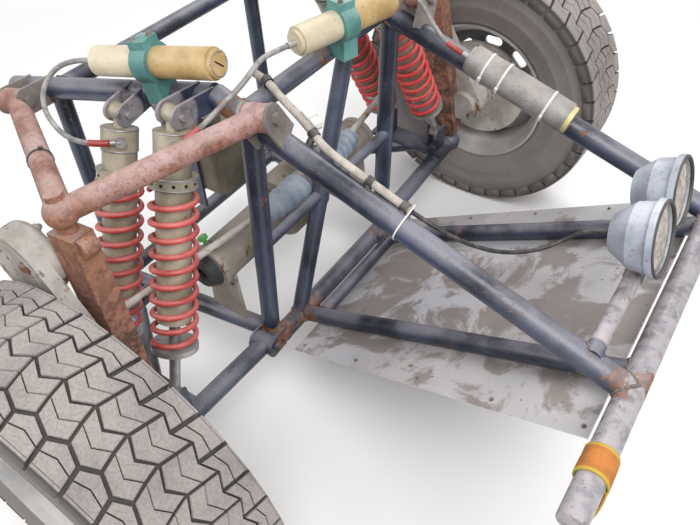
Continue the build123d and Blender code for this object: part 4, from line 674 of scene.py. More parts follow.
# %% Four wound springs
SPRING_R = 0.047
WIRE_R = 0.00575
PITCH = 0.031
TURNS = 10
SPRING_START = 0.130
STEPS_A_TURN = 28
SHOCKS = {
    "front": (Vector((0.492, 0.325, 0.318)), Vector((0.563, 0.548, -0.205))),
    "rear": (Vector((0.340, 0.325, 0.270)), Vector((0.398, 0.548, -0.205))),
}


def sided(point, side):
    return Vector((point[0], side * point[1], point[2]))


def basis(direction):
    forward = direction.normalized()
    first = forward.orthogonal().normalized()
    return first, forward.cross(first), forward


coils = []
for top, low in SHOCKS.values():
    for side in (-1, 1):
        head, foot = sided(top, side), sided(low, side)
        first, second, axis = basis(foot - head)
        start = head + axis * (SPRING_START + WIRE_R)
        coil = []
        for step in range(TURNS * STEPS_A_TURN + 1):
            angle = 2 * pi * step / STEPS_A_TURN
            climb = axis * (PITCH * step / STEPS_A_TURN)
            coil.append(start + climb + (first * cos(angle) + second * sin(angle)) * (SPRING_R - WIRE_R))
        coils.append(coil)
springs = add_piece("springs_wound", tube_mesh("springs", coils, WIRE_R, 12), "spring_red", "frame")
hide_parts("springs")
print("springs:", len(coils), "faces:", len(springs.data.polygons))

# %% [markdown]
# ## Geometry Nodes for what repeats round an axle
# Tread blocks and collar holes are one pattern turned many times about one axis. A small tree puts copies of
# the pattern on a pile of points that all lie on the axis, turns each by its share of the circle, and makes
# the copies real, because the export drops instances. An Array modifier would need a second object to turn by.

# %% The ring tree
def named_input(tree, name, kind, value=None):
    socket = tree.interface.new_socket(name=name, in_out="INPUT", socket_type=kind)
    if value is not None:
        socket.default_value = value
    return socket.identifier


def new_tree(name):
    tree = bpy.data.node_groups.new(name, "GeometryNodeTree")
    tree.interface.new_socket(name="Geometry", in_out="OUTPUT", socket_type="NodeSocketGeometry")
    named_input(tree, "Geometry", "NodeSocketGeometry")
    entry = tree.nodes.new("NodeGroupInput")
    leave = tree.nodes.new("NodeGroupOutput")
    return tree, entry, leave


ring_tree, entry, leave = new_tree("ring_of_copies")
count_id = named_input(ring_tree, "Count", "NodeSocketInt", 12)
ring_finish_id = named_input(ring_tree, "Finish", "NodeSocketMaterial")
points = ring_tree.nodes.new("GeometryNodePoints")
link(ring_tree, entry.outputs["Count"], points.inputs["Count"])
number = ring_tree.nodes.new("GeometryNodeInputIndex")
share = ring_tree.nodes.new("ShaderNodeMath")
share.operation = "DIVIDE"
link(ring_tree, number.outputs["Index"], share.inputs[0])
link(ring_tree, entry.outputs["Count"], share.inputs[1])
full = ring_tree.nodes.new("ShaderNodeMath")
full.operation = "MULTIPLY"
full.inputs[1].default_value = 2 * pi
link(ring_tree, share.outputs[0], full.inputs[0])
euler = ring_tree.nodes.new("ShaderNodeCombineXYZ")
link(ring_tree, full.outputs[0], euler.inputs["Z"])
copies = ring_tree.nodes.new("GeometryNodeInstanceOnPoints")
link(ring_tree, points.outputs[0], copies.inputs["Points"])
link(ring_tree, entry.outputs["Geometry"], copies.inputs["Instance"])
link(ring_tree, euler.outputs[0], copies.inputs["Rotation"])
real = ring_tree.nodes.new("GeometryNodeRealizeInstances")
link(ring_tree, copies.outputs[0], real.inputs[0])
paint = ring_tree.nodes.new("GeometryNodeSetMaterial")
link(ring_tree, real.outputs[0], paint.inputs["Geometry"])
link(ring_tree, entry.outputs["Finish"], paint.inputs["Material"])
link(ring_tree, paint.outputs[0], leave.inputs[0])


def grown(name, seed_mesh, tree, values):
    holder = bpy.data.objects.new(name, seed_mesh)
    bpy.context.scene.collection.objects.link(holder)
    modifier = holder.modifiers.new(name, "NODES")
    modifier.node_group = tree
    for identifier, value in values.items():
        modifier[identifier] = value
    bpy.context.view_layer.update()
    mesh = bpy.data.meshes.new_from_object(holder.evaluated_get(bpy.context.evaluated_depsgraph_get()))
    bpy.data.objects.remove(holder)
    return mesh


print("ring tree nodes:", len(ring_tree.nodes))

# %% [markdown]
# ## The tread
# The tyres carry large angular blocks that stand close together, with narrow zigzag grooves and thin cuts in
# the rubber. Zigzag lines divide the tread into four rows, leaning grooves divide each row into long blocks,
# and a thin cut splits each block lengthwise. Each block is wrapped round the axle with a small chamfer on
# its top edge, and the ring tree turns one twentieth of the tread twenty times.

# %% One pitch of tread, then the whole ring
PITCHES = 20
BLOCK_TOP = 0.3690
BLOCK_ROOT = 0.3500
CROWN_FALL = 0.0025
EDGE_HALF = 0.0940
CHAMFER = 0.0016
ROW_LINES = ((0.0925, 0.0925), (0.0600, 0.0480), (0.0090, -0.0070), (-0.0480, -0.0600), (-0.0925, -0.0925))
CUTS = 4
LEAN = 0.24
WIDE_HALF = 0.0026
THIN_HALF = 0.0008
EDGE_GAP_HALF = 0.0036


def wrapped(length, width, radius):
    angle = length / TYRE_R
    return Vector((radius * sin(angle), width, radius * cos(angle)))


def top_radius(width):
    return BLOCK_TOP - CROWN_FALL * (width / EDGE_HALF) ** 2


def add_block(form, outline):
    middle_t = sum(point[0] for point in outline) / len(outline)
    middle_w = sum(point[1] for point in outline) / len(outline)
    reach = max(hypot(point[0] - middle_t, point[1] - middle_w) for point in outline)
    share = 1 - CHAMFER / reach
    rings = []
    for scale, lower in ((1.0, None), (1.0, CHAMFER), (share, 0.0)):
        ring = []
        for t, w in outline:
            t = middle_t + (t - middle_t) * scale
            w = middle_w + (w - middle_w) * scale
            radius = BLOCK_ROOT if lower is None else top_radius(w) - lower
            ring.append(form.verts.new(wrapped(t, w, radius)))
        rings.append(ring)
    size = len(outline)
    for low, high in zip(rings[:-1], rings[1:]):
        for step in range(size):
            form.faces.new((low[step], low[(step + 1) % size], high[(step + 1) % size], high[step]))
    form.faces.new(rings[-1])
    form.faces.new(list(reversed(rings[0])))


def add_buttress(form, start, end, edge):
    steps = ((0.3665, EDGE_HALF - 0.001), (0.3660, EDGE_HALF + 0.002), (0.3480, 0.1020), (0.3360, 0.1022),
             (0.3340, 0.0980), (0.3400, 0.0900))
    ends = []
    for length in (start, end):
        ends.append([form.verts.new(wrapped(length, edge * width, radius)) for radius, width in steps])
    size = len(steps)
    for step in range(size):
        form.faces.new((ends[0][step], ends[0][(step + 1) % size], ends[1][(step + 1) % size], ends[1][step]))
    form.faces.new(ends[0])
    form.faces.new(list(reversed(ends[1])))


pitch_length = 2 * pi * TYRE_R / PITCHES
cut_length = pitch_length / CUTS


def groove_corner(row, cut, share, along, inward):
    width = ROW_LINES[row][cut % 2] * (1 - share) + ROW_LINES[row + 1][cut % 2] * share - inward
    return cut * cut_length + LEAN * abs(width) + along, width


form = bmesh.new()
for row in range(len(ROW_LINES) - 1):
    at_edge = row in (0, len(ROW_LINES) - 2)
    half = EDGE_GAP_HALF if at_edge else WIDE_HALF
    outer_gaps = (0.0 if row == 0 else WIDE_HALF, THIN_HALF)
    inner_gaps = (-THIN_HALF, 0.0 if row == len(ROW_LINES) - 2 else -WIDE_HALF)
    for start in (0, 2) if at_edge else (1, 3):
        for part in (0, 1):
            outer, inner = [], []
            for cut, trim in ((start, half), (start + 1, 0.0), (start + 2, -half)):
                outer.append(groove_corner(row, cut, part / 2, trim, outer_gaps[part]))
                inner.append(groove_corner(row, cut, (part + 1) / 2, trim, inner_gaps[part]))
            add_block(form, outer + list(reversed(inner)))
        if at_edge:
            corner = start * cut_length + LEAN * EDGE_HALF
            add_buttress(form, corner + half, corner + 2 * cut_length - half, 1 if row == 0 else -1)
bmesh.ops.recalc_face_normals(form, faces=form.faces)
bmesh.ops.rotate(form, verts=form.verts, cent=(0, 0, 0), matrix=Matrix.Rotation(pi / 2, 3, "X"))
pitch_mesh = bpy.data.meshes.new("tread_pitch")
form.to_mesh(pitch_mesh)
form.free()
tread_mesh = grown("tread", pitch_mesh, ring_tree,
                   {count_id: PITCHES, ring_finish_id: finishes["tyre_rubber"]})
tread_mesh.transform(Matrix.Rotation(-pi / 2, 4, "X"))
print("tread faces:", len(tread_mesh.polygons))

# %% [markdown]
# ## The carcass
# Under the tread is the carcass: a bulged sidewall with a rim guard, a few thin rings and a rounded shoulder.
# It is one profile spun round the axle, and its inner wall closes it, so that nothing shows open from behind.

# %% Spin the carcass and set both tyres in place
CARCASS_STEPS = 120
SMOOTH_REACH = 0.345
CARCASS_PROFILE = ((0.2010, 0.0780), (0.2120, 0.0830), (0.2190, 0.0895), (0.2240, 0.0900), (0.2290, 0.0905),
                   (0.2450, 0.0965), (0.2650, 0.1005), (0.2680, 0.1012), (0.2700, 0.1004), (0.2850, 0.1012),
                   (0.3050, 0.1010), (0.3080, 0.1017), (0.3100, 0.1006), (0.3250, 0.0995), (0.3400, 0.0970),
                   (0.3500, 0.0930), (0.3560, 0.0870), (0.3590, 0.0780), (0.3597, 0.0500), (0.3600, 0.0))
INNER_PROFILE = ((0.3400, 0.0), (0.3380, 0.0600), (0.3250, 0.0800), (0.2700, 0.0800), (0.2230, 0.0660),
                 (0.2010, 0.0620))

outer = list(CARCASS_PROFILE) + [(radius, -width) for radius, width in reversed(CARCASS_PROFILE[:-1])]
inner = [(radius, -width) for radius, width in reversed(INNER_PROFILE)] + list(INNER_PROFILE[1:])
profile = outer + inner


def spun(form, outline, steps):
    rings = []
    for step in range(steps):
        angle = 2 * pi * step / steps
        rings.append([form.verts.new((radius * sin(angle), width, radius * cos(angle)))
                      for radius, width in outline])
    size = len(outline)
    for step in range(steps):
        here, there = rings[step], rings[(step + 1) % steps]
        for index in range(size):
            nxt = (index + 1) % size
            form.faces.new((here[index], here[nxt], there[nxt], there[index]))


for side, tag in ((-1, "right"), (1, "left")):
    form = bmesh.new()
    spun(form, profile, CARCASS_STEPS)
    form.from_mesh(tread_mesh)
    if side < 0:
        bmesh.ops.scale(form, vec=(1, -1, 1), verts=form.verts)
    bmesh.ops.recalc_face_normals(form, faces=form.faces)
    bmesh.ops.translate(form, vec=(AXLE_X, side * WHEEL_Y, AXLE_Z), verts=form.verts)
    mesh = bpy.data.meshes.new("tyre_" + tag + "_dressed")
    form.to_mesh(mesh)
    form.free()
    tyre = add_piece("tyre_" + tag + "_dressed", mesh, "tyre_rubber", "wheel_" + tag, smooth=False)
    for face in mesh.polygons:
        reach = hypot(face.center.x - AXLE_X, face.center.z - AXLE_Z)
        face.use_smooth = reach < SMOOTH_REACH
    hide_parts("tyre_" + tag)
    print("tyre", tag, "faces", len(mesh.polygons))

# %% [markdown]
# ## Bolt heads wherever something is fastened
# A hexagon head on a round washer is drawn once, in a tree that puts it on every point of a cloud and turns
# it to face the way the point says. The size comes with the point too, so that one tree serves the wheel
# nuts, the caliper bolts, the lamp feet and the edge of the skid plate.

# %% The bolt tree
bolt_tree, entry, leave = new_tree("bolts_on_points")
bolt_finish_id = named_input(bolt_tree, "Finish", "NodeSocketMaterial")


def cylinder(tree, sides, radius, depth, lift):
    node = tree.nodes.new("GeometryNodeMeshCylinder")
    node.inputs["Vertices"].default_value = sides
    node.inputs["Radius"].default_value = radius
    node.inputs["Depth"].default_value = depth
    raised = tree.nodes.new("GeometryNodeTransform")
    raised.inputs["Translation"].default_value = (0, 0, lift)
    link(tree, node.outputs["Mesh"], raised.inputs["Geometry"])
    return raised.outputs["Geometry"]


join = bolt_tree.nodes.new("GeometryNodeJoinGeometry")
for sides, radius, depth, lift in ((18, 1.35, 0.24, 0.10), (6, 1.0, 0.80, 0.60), (6, 0.86, 0.12, 1.04),
                                   (14, 0.52, 0.30, 1.20)):
    link(bolt_tree, cylinder(bolt_tree, sides, radius, depth, lift), join.inputs[0])


def attribute(tree, name, kind):
    node = tree.nodes.new("GeometryNodeInputNamedAttribute")
    node.data_type = kind
    node.inputs["Name"].default_value = name
    return node.outputs["Attribute"]


aim = bolt_tree.nodes.new("FunctionNodeAlignRotationToVector")
aim.axis = "Z"
link(bolt_tree, attribute(bolt_tree, "facing", "FLOAT_VECTOR"), aim.inputs["Vector"])
heads = bolt_tree.nodes.new("GeometryNodeInstanceOnPoints")
link(bolt_tree, entry.outputs["Geometry"], heads.inputs["Points"])
link(bolt_tree, join.outputs[0], heads.inputs["Instance"])
link(bolt_tree, aim.outputs[0], heads.inputs["Rotation"])
link(bolt_tree, attribute(bolt_tree, "size", "FLOAT"), heads.inputs["Scale"])
real = bolt_tree.nodes.new("GeometryNodeRealizeInstances")
link(bolt_tree, heads.outputs[0], real.inputs[0])
paint = bolt_tree.nodes.new("GeometryNodeSetMaterial")
link(bolt_tree, real.outputs[0], paint.inputs["Geometry"])
link(bolt_tree, entry.outputs["Finish"], paint.inputs["Material"])
link(bolt_tree, paint.outputs[0], leave.inputs[0])


def cloud(name, rows):
    mesh = bpy.data.meshes.new(name)
    mesh.from_pydata([row[0] for row in rows], [], [])
    mesh.attributes.new("facing", "FLOAT_VECTOR", "POINT")
    mesh.attributes.new("size", "FLOAT", "POINT")
    for index, (place, direction, radius) in enumerate(rows):
        mesh.attributes["facing"].data[index].vector = Vector(direction).normalized()
        mesh.attributes["size"].data[index].value = radius
    return mesh


def bolts(name, rows, body, finish="bolt_steel"):
    mesh = grown(name, cloud(name, rows), bolt_tree, {bolt_finish_id: finishes[finish]})
    piece = add_piece(name, mesh, finish, body, smooth=False)
    print(name, len(rows))
    return piece


# %% [markdown]
# ## What is bolted on each wheel
# Five nuts hold the rim, two bolts hold the caliper, and five cap bolts close the round end of the carrier.
# The nuts ride on the wheel and the others on the knuckle, so each group is a piece of its own body.

# %% Wheel nuts, caliper bolts and carrier bolts
NUT_RING_R = 0.057
NUTS = 5
NUT_SEAT_Y = 0.789
NUT_SIZE = 0.0085
CALIPER_BOLTS = ((-0.128, 0.030), (-0.128, -0.030))
CALIPER_BOLT_Y = 0.6995
CALIPER_BOLT_SIZE = 0.007
LOBE = (0.403, 0.164)
CAP_RING_R = 0.046
LOBE_IN_Y = 0.586
CAP_BOLT_SIZE = 0.0055
for side, tag in ((-1, "right"), (1, "left")):
    nuts = []
    for step in range(NUTS):
        angle = 2 * pi * step / NUTS + 0.3
        seat = (AXLE_X + NUT_RING_R * cos(angle), side * NUT_SEAT_Y, AXLE_Z + NUT_RING_R * sin(angle))
        nuts.append((seat, (0, side, 0), NUT_SIZE))
    bolts("wheel_nuts_" + tag, nuts, "wheel_" + tag)
    fixed = []
    for dx, dz in CALIPER_BOLTS:
        fixed.append(((AXLE_X + dx, side * CALIPER_BOLT_Y, AXLE_Z + dz), (0, -side, 0), CALIPER_BOLT_SIZE))
    for step in range(5):
        turn = radians(72 * step + 20)
        seat = (LOBE[0] + CAP_RING_R * cos(turn), side * LOBE_IN_Y, LOBE[1] + CAP_RING_R * sin(turn))
        fixed.append((seat, (0, -side, 0), CAP_BOLT_SIZE))
    bolts("carrier_bolts_" + tag, fixed, "knuckle_" + tag)

# %% [markdown]
# ## What is bolted on the frame
# The skid plate slopes up towards the bumper, so its bolts point square to that slope and stand in a row near
# each edge. The lamps pivot on a bolt through each foot, and two screws close each teal clamp.

# %% Bolts of the skid plate, the lamps and the clamps
RAMP_RISE = Vector((-0.370, 0.0, 0.744)).normalized()
RAMP_RUN = Vector((0.744, 0.0, 0.370)).normalized()
NOSE_LOW_R = 0.019
SKID_LOW = Vector((0.640, 0.0, -0.2867)) - RAMP_RISE * NOSE_LOW_R
SKID_BOLTS = 5
SKID_FIRST = 0.020
SKID_REACH = 0.700
SKID_HALF_REAR = 0.252
SKID_HALF_GAIN = 0.066
SKID_BOLT_SIZE = 0.0032
skid_rows = []
for step in range(SKID_BOLTS):
    share = step / (SKID_BOLTS - 1)
    middle = SKID_LOW + RAMP_RUN * (SKID_FIRST + share * SKID_REACH)
    half = SKID_HALF_REAR + share * SKID_HALF_GAIN
    for side in (-1, 1):
        seat = middle + Vector((0, side * half, 0)) + RAMP_RISE * 0.0003
        skid_rows.append((seat, RAMP_RISE, SKID_BOLT_SIZE))
bolts("skid_plate_bolts", skid_rows, "frame")

LAMPS = ((1.279, -0.030, 0.185), (1.272, 0.114, 0.180))
LAMP_BOLT_X = 1.260
LAMP_BOLT_Z = 0.106
FOOT_HALF = 0.013
LAMP_BOLT_SIZE = 0.005
lamp_rows = []
for lamp in LAMPS:
    for side in (-1, 1):
        seat = (LAMP_BOLT_X, lamp[1] + side * FOOT_HALF, LAMP_BOLT_Z)
        lamp_rows.append((seat, (0, side, 0), LAMP_BOLT_SIZE))
bolts("lamp_foot_bolts", lamp_rows, "frame")

BOTTLES = (
    (Vector((0.272, -0.288, 0.338)), Vector((0.535, -0.247, 0.389)), 0.0285),
    (Vector((0.272, 0.288, 0.338)), Vector((0.535, 0.247, 0.389)), 0.0285),
    (Vector((0.576, -0.072, 0.362)), Vector((0.632, 0.150, 0.362)), 0.0285),
    (Vector((0.8064, 0.2013, 0.2621)), Vector((1.0214, 0.2041, 0.1953)), 0.0320),
)
CLAMP_SHARE = 0.47
CLAMP_SCREW_RISE = 0.046
CLAMP_SCREW_SIZE = 0.0048
clamp_rows = []
for start, end, radius in BOTTLES[:3]:
    axis = (end - start).normalized()
    level = Vector((-axis.y, axis.x, 0)).normalized()
    above = axis.cross(level)
    above = above if above.z > 0 else -above
    centre = start.lerp(end, CLAMP_SHARE) + above * CLAMP_SCREW_RISE
    for step in (-1, 1):
        seat = centre + axis * (0.010 * step) + level * (0.011 * step)
        clamp_rows.append((seat, above, CLAMP_SCREW_SIZE))
bolts("clamp_bolts", clamp_rows, "frame")

# %% [markdown]
# ## Weld beads
# Every tube joint is a line of small overlapping puddles of weld. Where one tube meets another, its wall
# stops at the other's surface, so a ray from each point of its circle finds the seam. A small ball sits on
# each point of that seam, placed by Geometry Nodes, and each has a size of its own.

# %% The seam of two tubes and the weld tree
WELD_R = 0.0034
weld_tree, entry, leave = new_tree("weld_puddles")
weld_finish_id = named_input(weld_tree, "Finish", "NodeSocketMaterial")
weld_size_id = named_input(weld_tree, "Puddle radius", "NodeSocketFloat", WELD_R)
ball = weld_tree.nodes.new("GeometryNodeMeshIcoSphere")
ball.inputs["Subdivisions"].default_value = 2
link(weld_tree, entry.outputs["Puddle radius"], ball.inputs["Radius"])
aim = weld_tree.nodes.new("FunctionNodeAlignRotationToVector")
aim.axis = "Z"
link(weld_tree, attribute(weld_tree, "facing", "FLOAT_VECTOR"), aim.inputs["Vector"])
spots = weld_tree.nodes.new("GeometryNodeInstanceOnPoints")
link(weld_tree, entry.outputs["Geometry"], spots.inputs["Points"])
link(weld_tree, ball.outputs["Mesh"], spots.inputs["Instance"])
link(weld_tree, aim.outputs[0], spots.inputs["Rotation"])
link(weld_tree, attribute(weld_tree, "size", "FLOAT"), spots.inputs["Scale"])
real = weld_tree.nodes.new("GeometryNodeRealizeInstances")
link(weld_tree, spots.outputs[0], real.inputs[0])
paint = weld_tree.nodes.new("GeometryNodeSetMaterial")
link(weld_tree, real.outputs[0], paint.inputs["Geometry"])
link(weld_tree, entry.outputs["Finish"], paint.inputs["Material"])
link(weld_tree, paint.outputs[0], leave.inputs[0])


SEAM_BACK = 0.12
SEAM_NEAR = -0.05
SEAM_FAR = 0.22


def seam(start, end, radius, other_start, other_end, other_radius, steps=44):
    first, second, axis = basis(end - start)
    other = (other_end - other_start).normalized()
    spots_made = []
    for step in range(steps):
        angle = 2 * pi * step / steps
        out = first * cos(angle) + second * sin(angle)
        point = end + out * radius - axis * SEAM_BACK
        gap = point - other_start
        flat_gap = gap - other * gap.dot(other)
        flat_run = axis - other * axis.dot(other)
        a = flat_run.dot(flat_run)
        b = flat_gap.dot(flat_run)
        c = flat_gap.dot(flat_gap) - other_radius ** 2
        under = b * b - a * c
        if under <= 0 or a < 1e-6:
            continue
        travel = (-b - sqrt(under)) / a
        if not SEAM_NEAR < travel < SEAM_FAR:
            continue
        place = point + axis * travel
        spots_made.append((place, out - axis, 1.0 + 0.22 * sin(step * 2.7)))
    return spots_made


MAIN_R = 0.0225
BRACE_R = 0.019
BAR_R = 0.015
UPRIGHT_R = 0.021
weld_rows = []
for side in (-1, 1):
    nose_top = (sided((0.510, 0.236, 0.314), side), sided((1.333, 0.247, 0.058), side))
    nose_low = (sided((0.589, 0.162, -0.312), side), sided((1.333, 0.206, 0.058), side))
    bumper = (Vector((1.333, -0.5, 0.058)), Vector((1.333, 0.5, 0.058)))
    low_cross = (Vector((0.589, -0.24, -0.311)), Vector((0.589, 0.24, -0.311)))
    upright = (sided((0.560, 0.246, -0.311), side), sided((0.588, 0.237, 0.2897), side))
    rail_low = (sided((0, 0.330, -0.311), side), sided((0.600, 0.240, -0.311), side))
    rail_up = (sided((0, 0.322, 0.215), side), sided((0.510, 0.236, 0.314), side))
    cross_mid = Vector((0.570, 0, 0.2953))
    lamp_mid, lamp_end = Vector((1.260, 0, 0.095)), Vector((1.260, side * 0.246, 0.095))
    ramp_mid, ramp_end = Vector((0.650, 0, -0.2817)), Vector((0.650, side * 0.1656, -0.2817))
    weld_rows += seam(*nose_top, MAIN_R, *bumper, MAIN_R)
    weld_rows += seam(*nose_low, NOSE_LOW_R, *bumper, MAIN_R)
    weld_rows += seam(nose_low[1], nose_low[0], NOSE_LOW_R, *low_cross, MAIN_R)
    weld_rows += seam(upright[0], upright[1], UPRIGHT_R, *nose_top, MAIN_R)
    weld_rows += seam(upright[1], upright[0], UPRIGHT_R, *rail_low, MAIN_R)
    weld_rows += seam(cross_mid, cross_mid + Vector((0, side * 0.2368, 0)), BRACE_R, *nose_top, MAIN_R)
    weld_rows += seam(lamp_mid, lamp_end, BAR_R, *nose_top, MAIN_R)
    weld_rows += seam(ramp_mid, ramp_end, BAR_R, *nose_low, NOSE_LOW_R)
    rear_up = sided((0.120, 0.3018, 0.2383), side)
    rear_low = sided((0.120, 0.312, -0.311), side)
    weld_rows += seam(rear_low, rear_up, BRACE_R, *rail_up, MAIN_R)
    weld_rows += seam(rear_up, rear_low, BRACE_R, *rail_low, MAIN_R)
    weld_rows += seam(Vector((0.120, 0, 0.2383)), rear_up, BRACE_R, *rail_up, MAIN_R)
    weld_rows += seam(Vector((0.120, 0, -0.311)), rear_low, BRACE_R, *rail_low, MAIN_R)
brace_low, brace_top = Vector((0.589, -0.174, -0.311)), Vector((0.570, 0.100, 0.2953))
weld_rows += seam(brace_top, brace_low, BRACE_R, *low_cross, MAIN_R)
up_cross = (Vector((0.570, -0.24, 0.2953)), Vector((0.570, 0.24, 0.2953)))
weld_rows += seam(brace_low, brace_top, BRACE_R, *up_cross, BRACE_R)
weld_mesh = grown("welds", cloud("weld_spots", weld_rows), weld_tree,
                  {weld_finish_id: finishes["weld_metal"], weld_size_id: WELD_R})
add_piece("weld_beads", weld_mesh, "weld_metal", "frame")
print("weld puddles:", len(weld_rows), "faces:", len(weld_mesh.polygons))

# %% [markdown]
# ## Lamp glass
# The lamps have round glass with upright ribs that spread the light, set in a dark rubber rim. The glass is a
# slightly domed disc built of rings of points, whose height falls towards the rim and rises on each rib. As
# real geometry the ribs also show at the glass's edge, which a bump alone would not.

# %% Ribbed lenses and their rims
LAMP_TILT = radians(17)
LENS_R = 0.0590
DOME = 0.0035
RIB_HEIGHT = 0.0015
LENS_RINGS = 22
LENS_STEPS = 120
LENS_SINK = 0.002
LENS_BACK = 0.0075
RIM_RING_R = 0.0635
RIM_WIRE_R = 0.0042
RIM_OUT = 0.0012
RIM_STEPS = 72
lamp_axis = Vector((cos(LAMP_TILT), 0, sin(LAMP_TILT)))
lamp_right = Vector((0, 1, 0))
lamp_up = lamp_axis.cross(lamp_right)


def lamp_point(lamp, across, up, out):
    return Vector(lamp) + lamp_right * across + lamp_up * up + lamp_axis * out


form = bmesh.new()
for lamp in LAMPS:
    centre = form.verts.new(lamp_point(lamp, 0, 0, RIB_HEIGHT - LENS_SINK))
    rings = []
    for ring in range(1, LENS_RINGS + 1):
        radius = LENS_R * ring / LENS_RINGS
        row = []
        for step in range(LENS_STEPS):
            angle = 2 * pi * step / LENS_STEPS
            across, up = radius * cos(angle), radius * sin(angle)
            rib = abs(sin(pi * across / RIB_PITCH)) * RIB_HEIGHT
            fall = DOME * (radius / LENS_R) ** 2
            row.append(form.verts.new(lamp_point(lamp, across, up, rib - fall - LENS_SINK)))
        rings.append(row)
    for step in range(LENS_STEPS):
        form.faces.new((centre, rings[0][step], rings[0][(step + 1) % LENS_STEPS]))
    for inside, outside in zip(rings[:-1], rings[1:]):
        for step in range(LENS_STEPS):
            nxt = (step + 1) % LENS_STEPS
            form.faces.new((inside[step], outside[step], outside[nxt], inside[nxt]))
    back = [form.verts.new(lamp_point(lamp, LENS_R * cos(2 * pi * step / LENS_STEPS),
                                      LENS_R * sin(2 * pi * step / LENS_STEPS), -LENS_BACK))
            for step in range(LENS_STEPS)]
    for step in range(LENS_STEPS):
        nxt = (step + 1) % LENS_STEPS
        form.faces.new((rings[-1][step], back[step], back[nxt], rings[-1][nxt]))
    form.faces.new(list(reversed(back)))
bmesh.ops.recalc_face_normals(form, faces=form.faces)
lens_mesh = bpy.data.meshes.new("lamp_lenses_ribbed")
form.to_mesh(lens_mesh)
form.free()
lenses = add_piece("lamp_lenses_ribbed", lens_mesh, "lamp_glass", "frame")
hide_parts("lamp_lenses")

rim_lines = []
for lamp in LAMPS:
    rim_lines.append([lamp_point(lamp, RIM_RING_R * cos(a), RIM_RING_R * sin(a), RIM_OUT)
                      for a in (2 * pi * step / RIM_STEPS for step in range(RIM_STEPS))])
rim_mesh = tube_mesh("lamp_rims", rim_lines, RIM_WIRE_R, 10, closed=True)
rims = add_piece("lamp_rims", rim_mesh, "clip_black", "frame")
print("lenses:", len(lens_mesh.polygons), "rims:", len(rims.data.polygons))

# %% [markdown]
# ## Bottle ends
# Each bottle ends in a plug that a round wire holds in its groove, and the plug has a slot across it. The
# wire is a ring that is almost closed, and the slot is a near-black bar let into the plug, painted shade that
# stands for the slot's depth.

# %% Wire rings and slots
PLUG_OUT = 0.0094
WIRE_INSET = 0.0075
END_WIRE_R = 0.0013
SLOT_R = 0.0016
wire_lines = []
slot_lines = []
for start, end, radius in BOTTLES:
    first, second, axis = basis(end - start)
    face = end + axis * PLUG_OUT
    wire_lines.append([face + (first * cos(a) + second * sin(a)) * (radius - WIRE_INSET)
                       for a in (2 * pi * step / 60 for step in range(56))])
    # The slot bar stands a little proud of the plug: painted shade for the slot.
    slot_lines.append([face + second * (-0.012) - axis * 0.0006, face - axis * 0.0004,
                       face + second * 0.012 - axis * 0.0006])
add_piece("bottle_wire_rings", tube_mesh("bottle_wires", wire_lines, END_WIRE_R, 8), "bolt_steel", "frame")
add_piece("bottle_slots", tube_mesh("bottle_slots", slot_lines, SLOT_R, 8), "dark_hole", "frame")
print("bottle ends:", len(wire_lines))

# %% [markdown]
# ## Collar rings and spanner holes
# A ring nut with spanner holes holds each spring at its top, with a thinner lock ring above it. Each hole is
# a shallow near-black disc, painted shade that stands for its depth. The ring tree makes the row of holes in
# the collar's own frame, and a matrix carries it onto each coilover.

# %% Collar holes on the four coilovers
COLLAR_START = 0.108
COLLAR_LEN = 0.022
COLLAR_R = 0.043
HOLES = 12
HOLE_R = 0.0034
HOLE_DEPTH = 0.0012
LOCK_WIRE_R = 0.0022


def carried(origin, direction):
    first, second, axis = basis(direction)
    matrix = Matrix((first, second, axis)).transposed().to_4x4()
    matrix.translation = origin
    return matrix


form = bmesh.new()
# Each hole is a near-black disc 1.2 mm thick, standing a little proud of the collar: painted shade for the
# hole.
seat = Matrix.Translation((COLLAR_R - 0.0003, 0, 0)) @ Matrix.Rotation(pi / 2, 4, "Y")
bmesh.ops.create_cone(form, cap_ends=True, segments=12, radius1=HOLE_R, radius2=HOLE_R, depth=HOLE_DEPTH,
                      matrix=seat)
hole_mesh = bpy.data.meshes.new("collar_hole")
form.to_mesh(hole_mesh)
form.free()
hole_ring = grown("collar_holes", hole_mesh, ring_tree,
                  {count_id: HOLES, ring_finish_id: finishes["dark_hole"]})
form = bmesh.new()
ring_lines = []
for top, low in SHOCKS.values():
    for side in (-1, 1):
        head, foot = sided(top, side), sided(low, side)
        axis = (foot - head).normalized()
        placed = hole_ring.copy()
        placed.transform(carried(head + axis * (COLLAR_START + COLLAR_LEN / 2), foot - head))
        form.from_mesh(placed)
        first, second, axis = basis(foot - head)
        for distance in (COLLAR_START + 0.001, COLLAR_START + COLLAR_LEN - 0.002, 0.0700, 0.0300):
            ring_r = COLLAR_R - 0.0005 if distance > 0.08 else 0.0335
            ring_lines.append([head + axis * distance + (first * cos(a) + second * sin(a)) * ring_r
                               for a in (2 * pi * step / 48 for step in range(48))])
holes_mesh = bpy.data.meshes.new("collar_holes_all")
form.to_mesh(holes_mesh)
form.free()
add_piece("collar_holes", holes_mesh, "dark_hole", "frame")
lock_mesh = tube_mesh("lock_rings", ring_lines, LOCK_WIRE_R, 8, closed=True)
add_piece("collar_lock_rings", lock_mesh, "rod_steel", "frame")
print("collar holes:", len(holes_mesh.polygons))

# %% [markdown]
# ## Zip ties
# White nylon ties hold the odd bottle on the left nose tube and the conduit on the right one, and a dark tie
# is left on the upper arm. A tie pulled tight takes the shape of a belt round two pulleys, so its line is the
# hull of two circles, and a flat band is carried along it with a small square head.

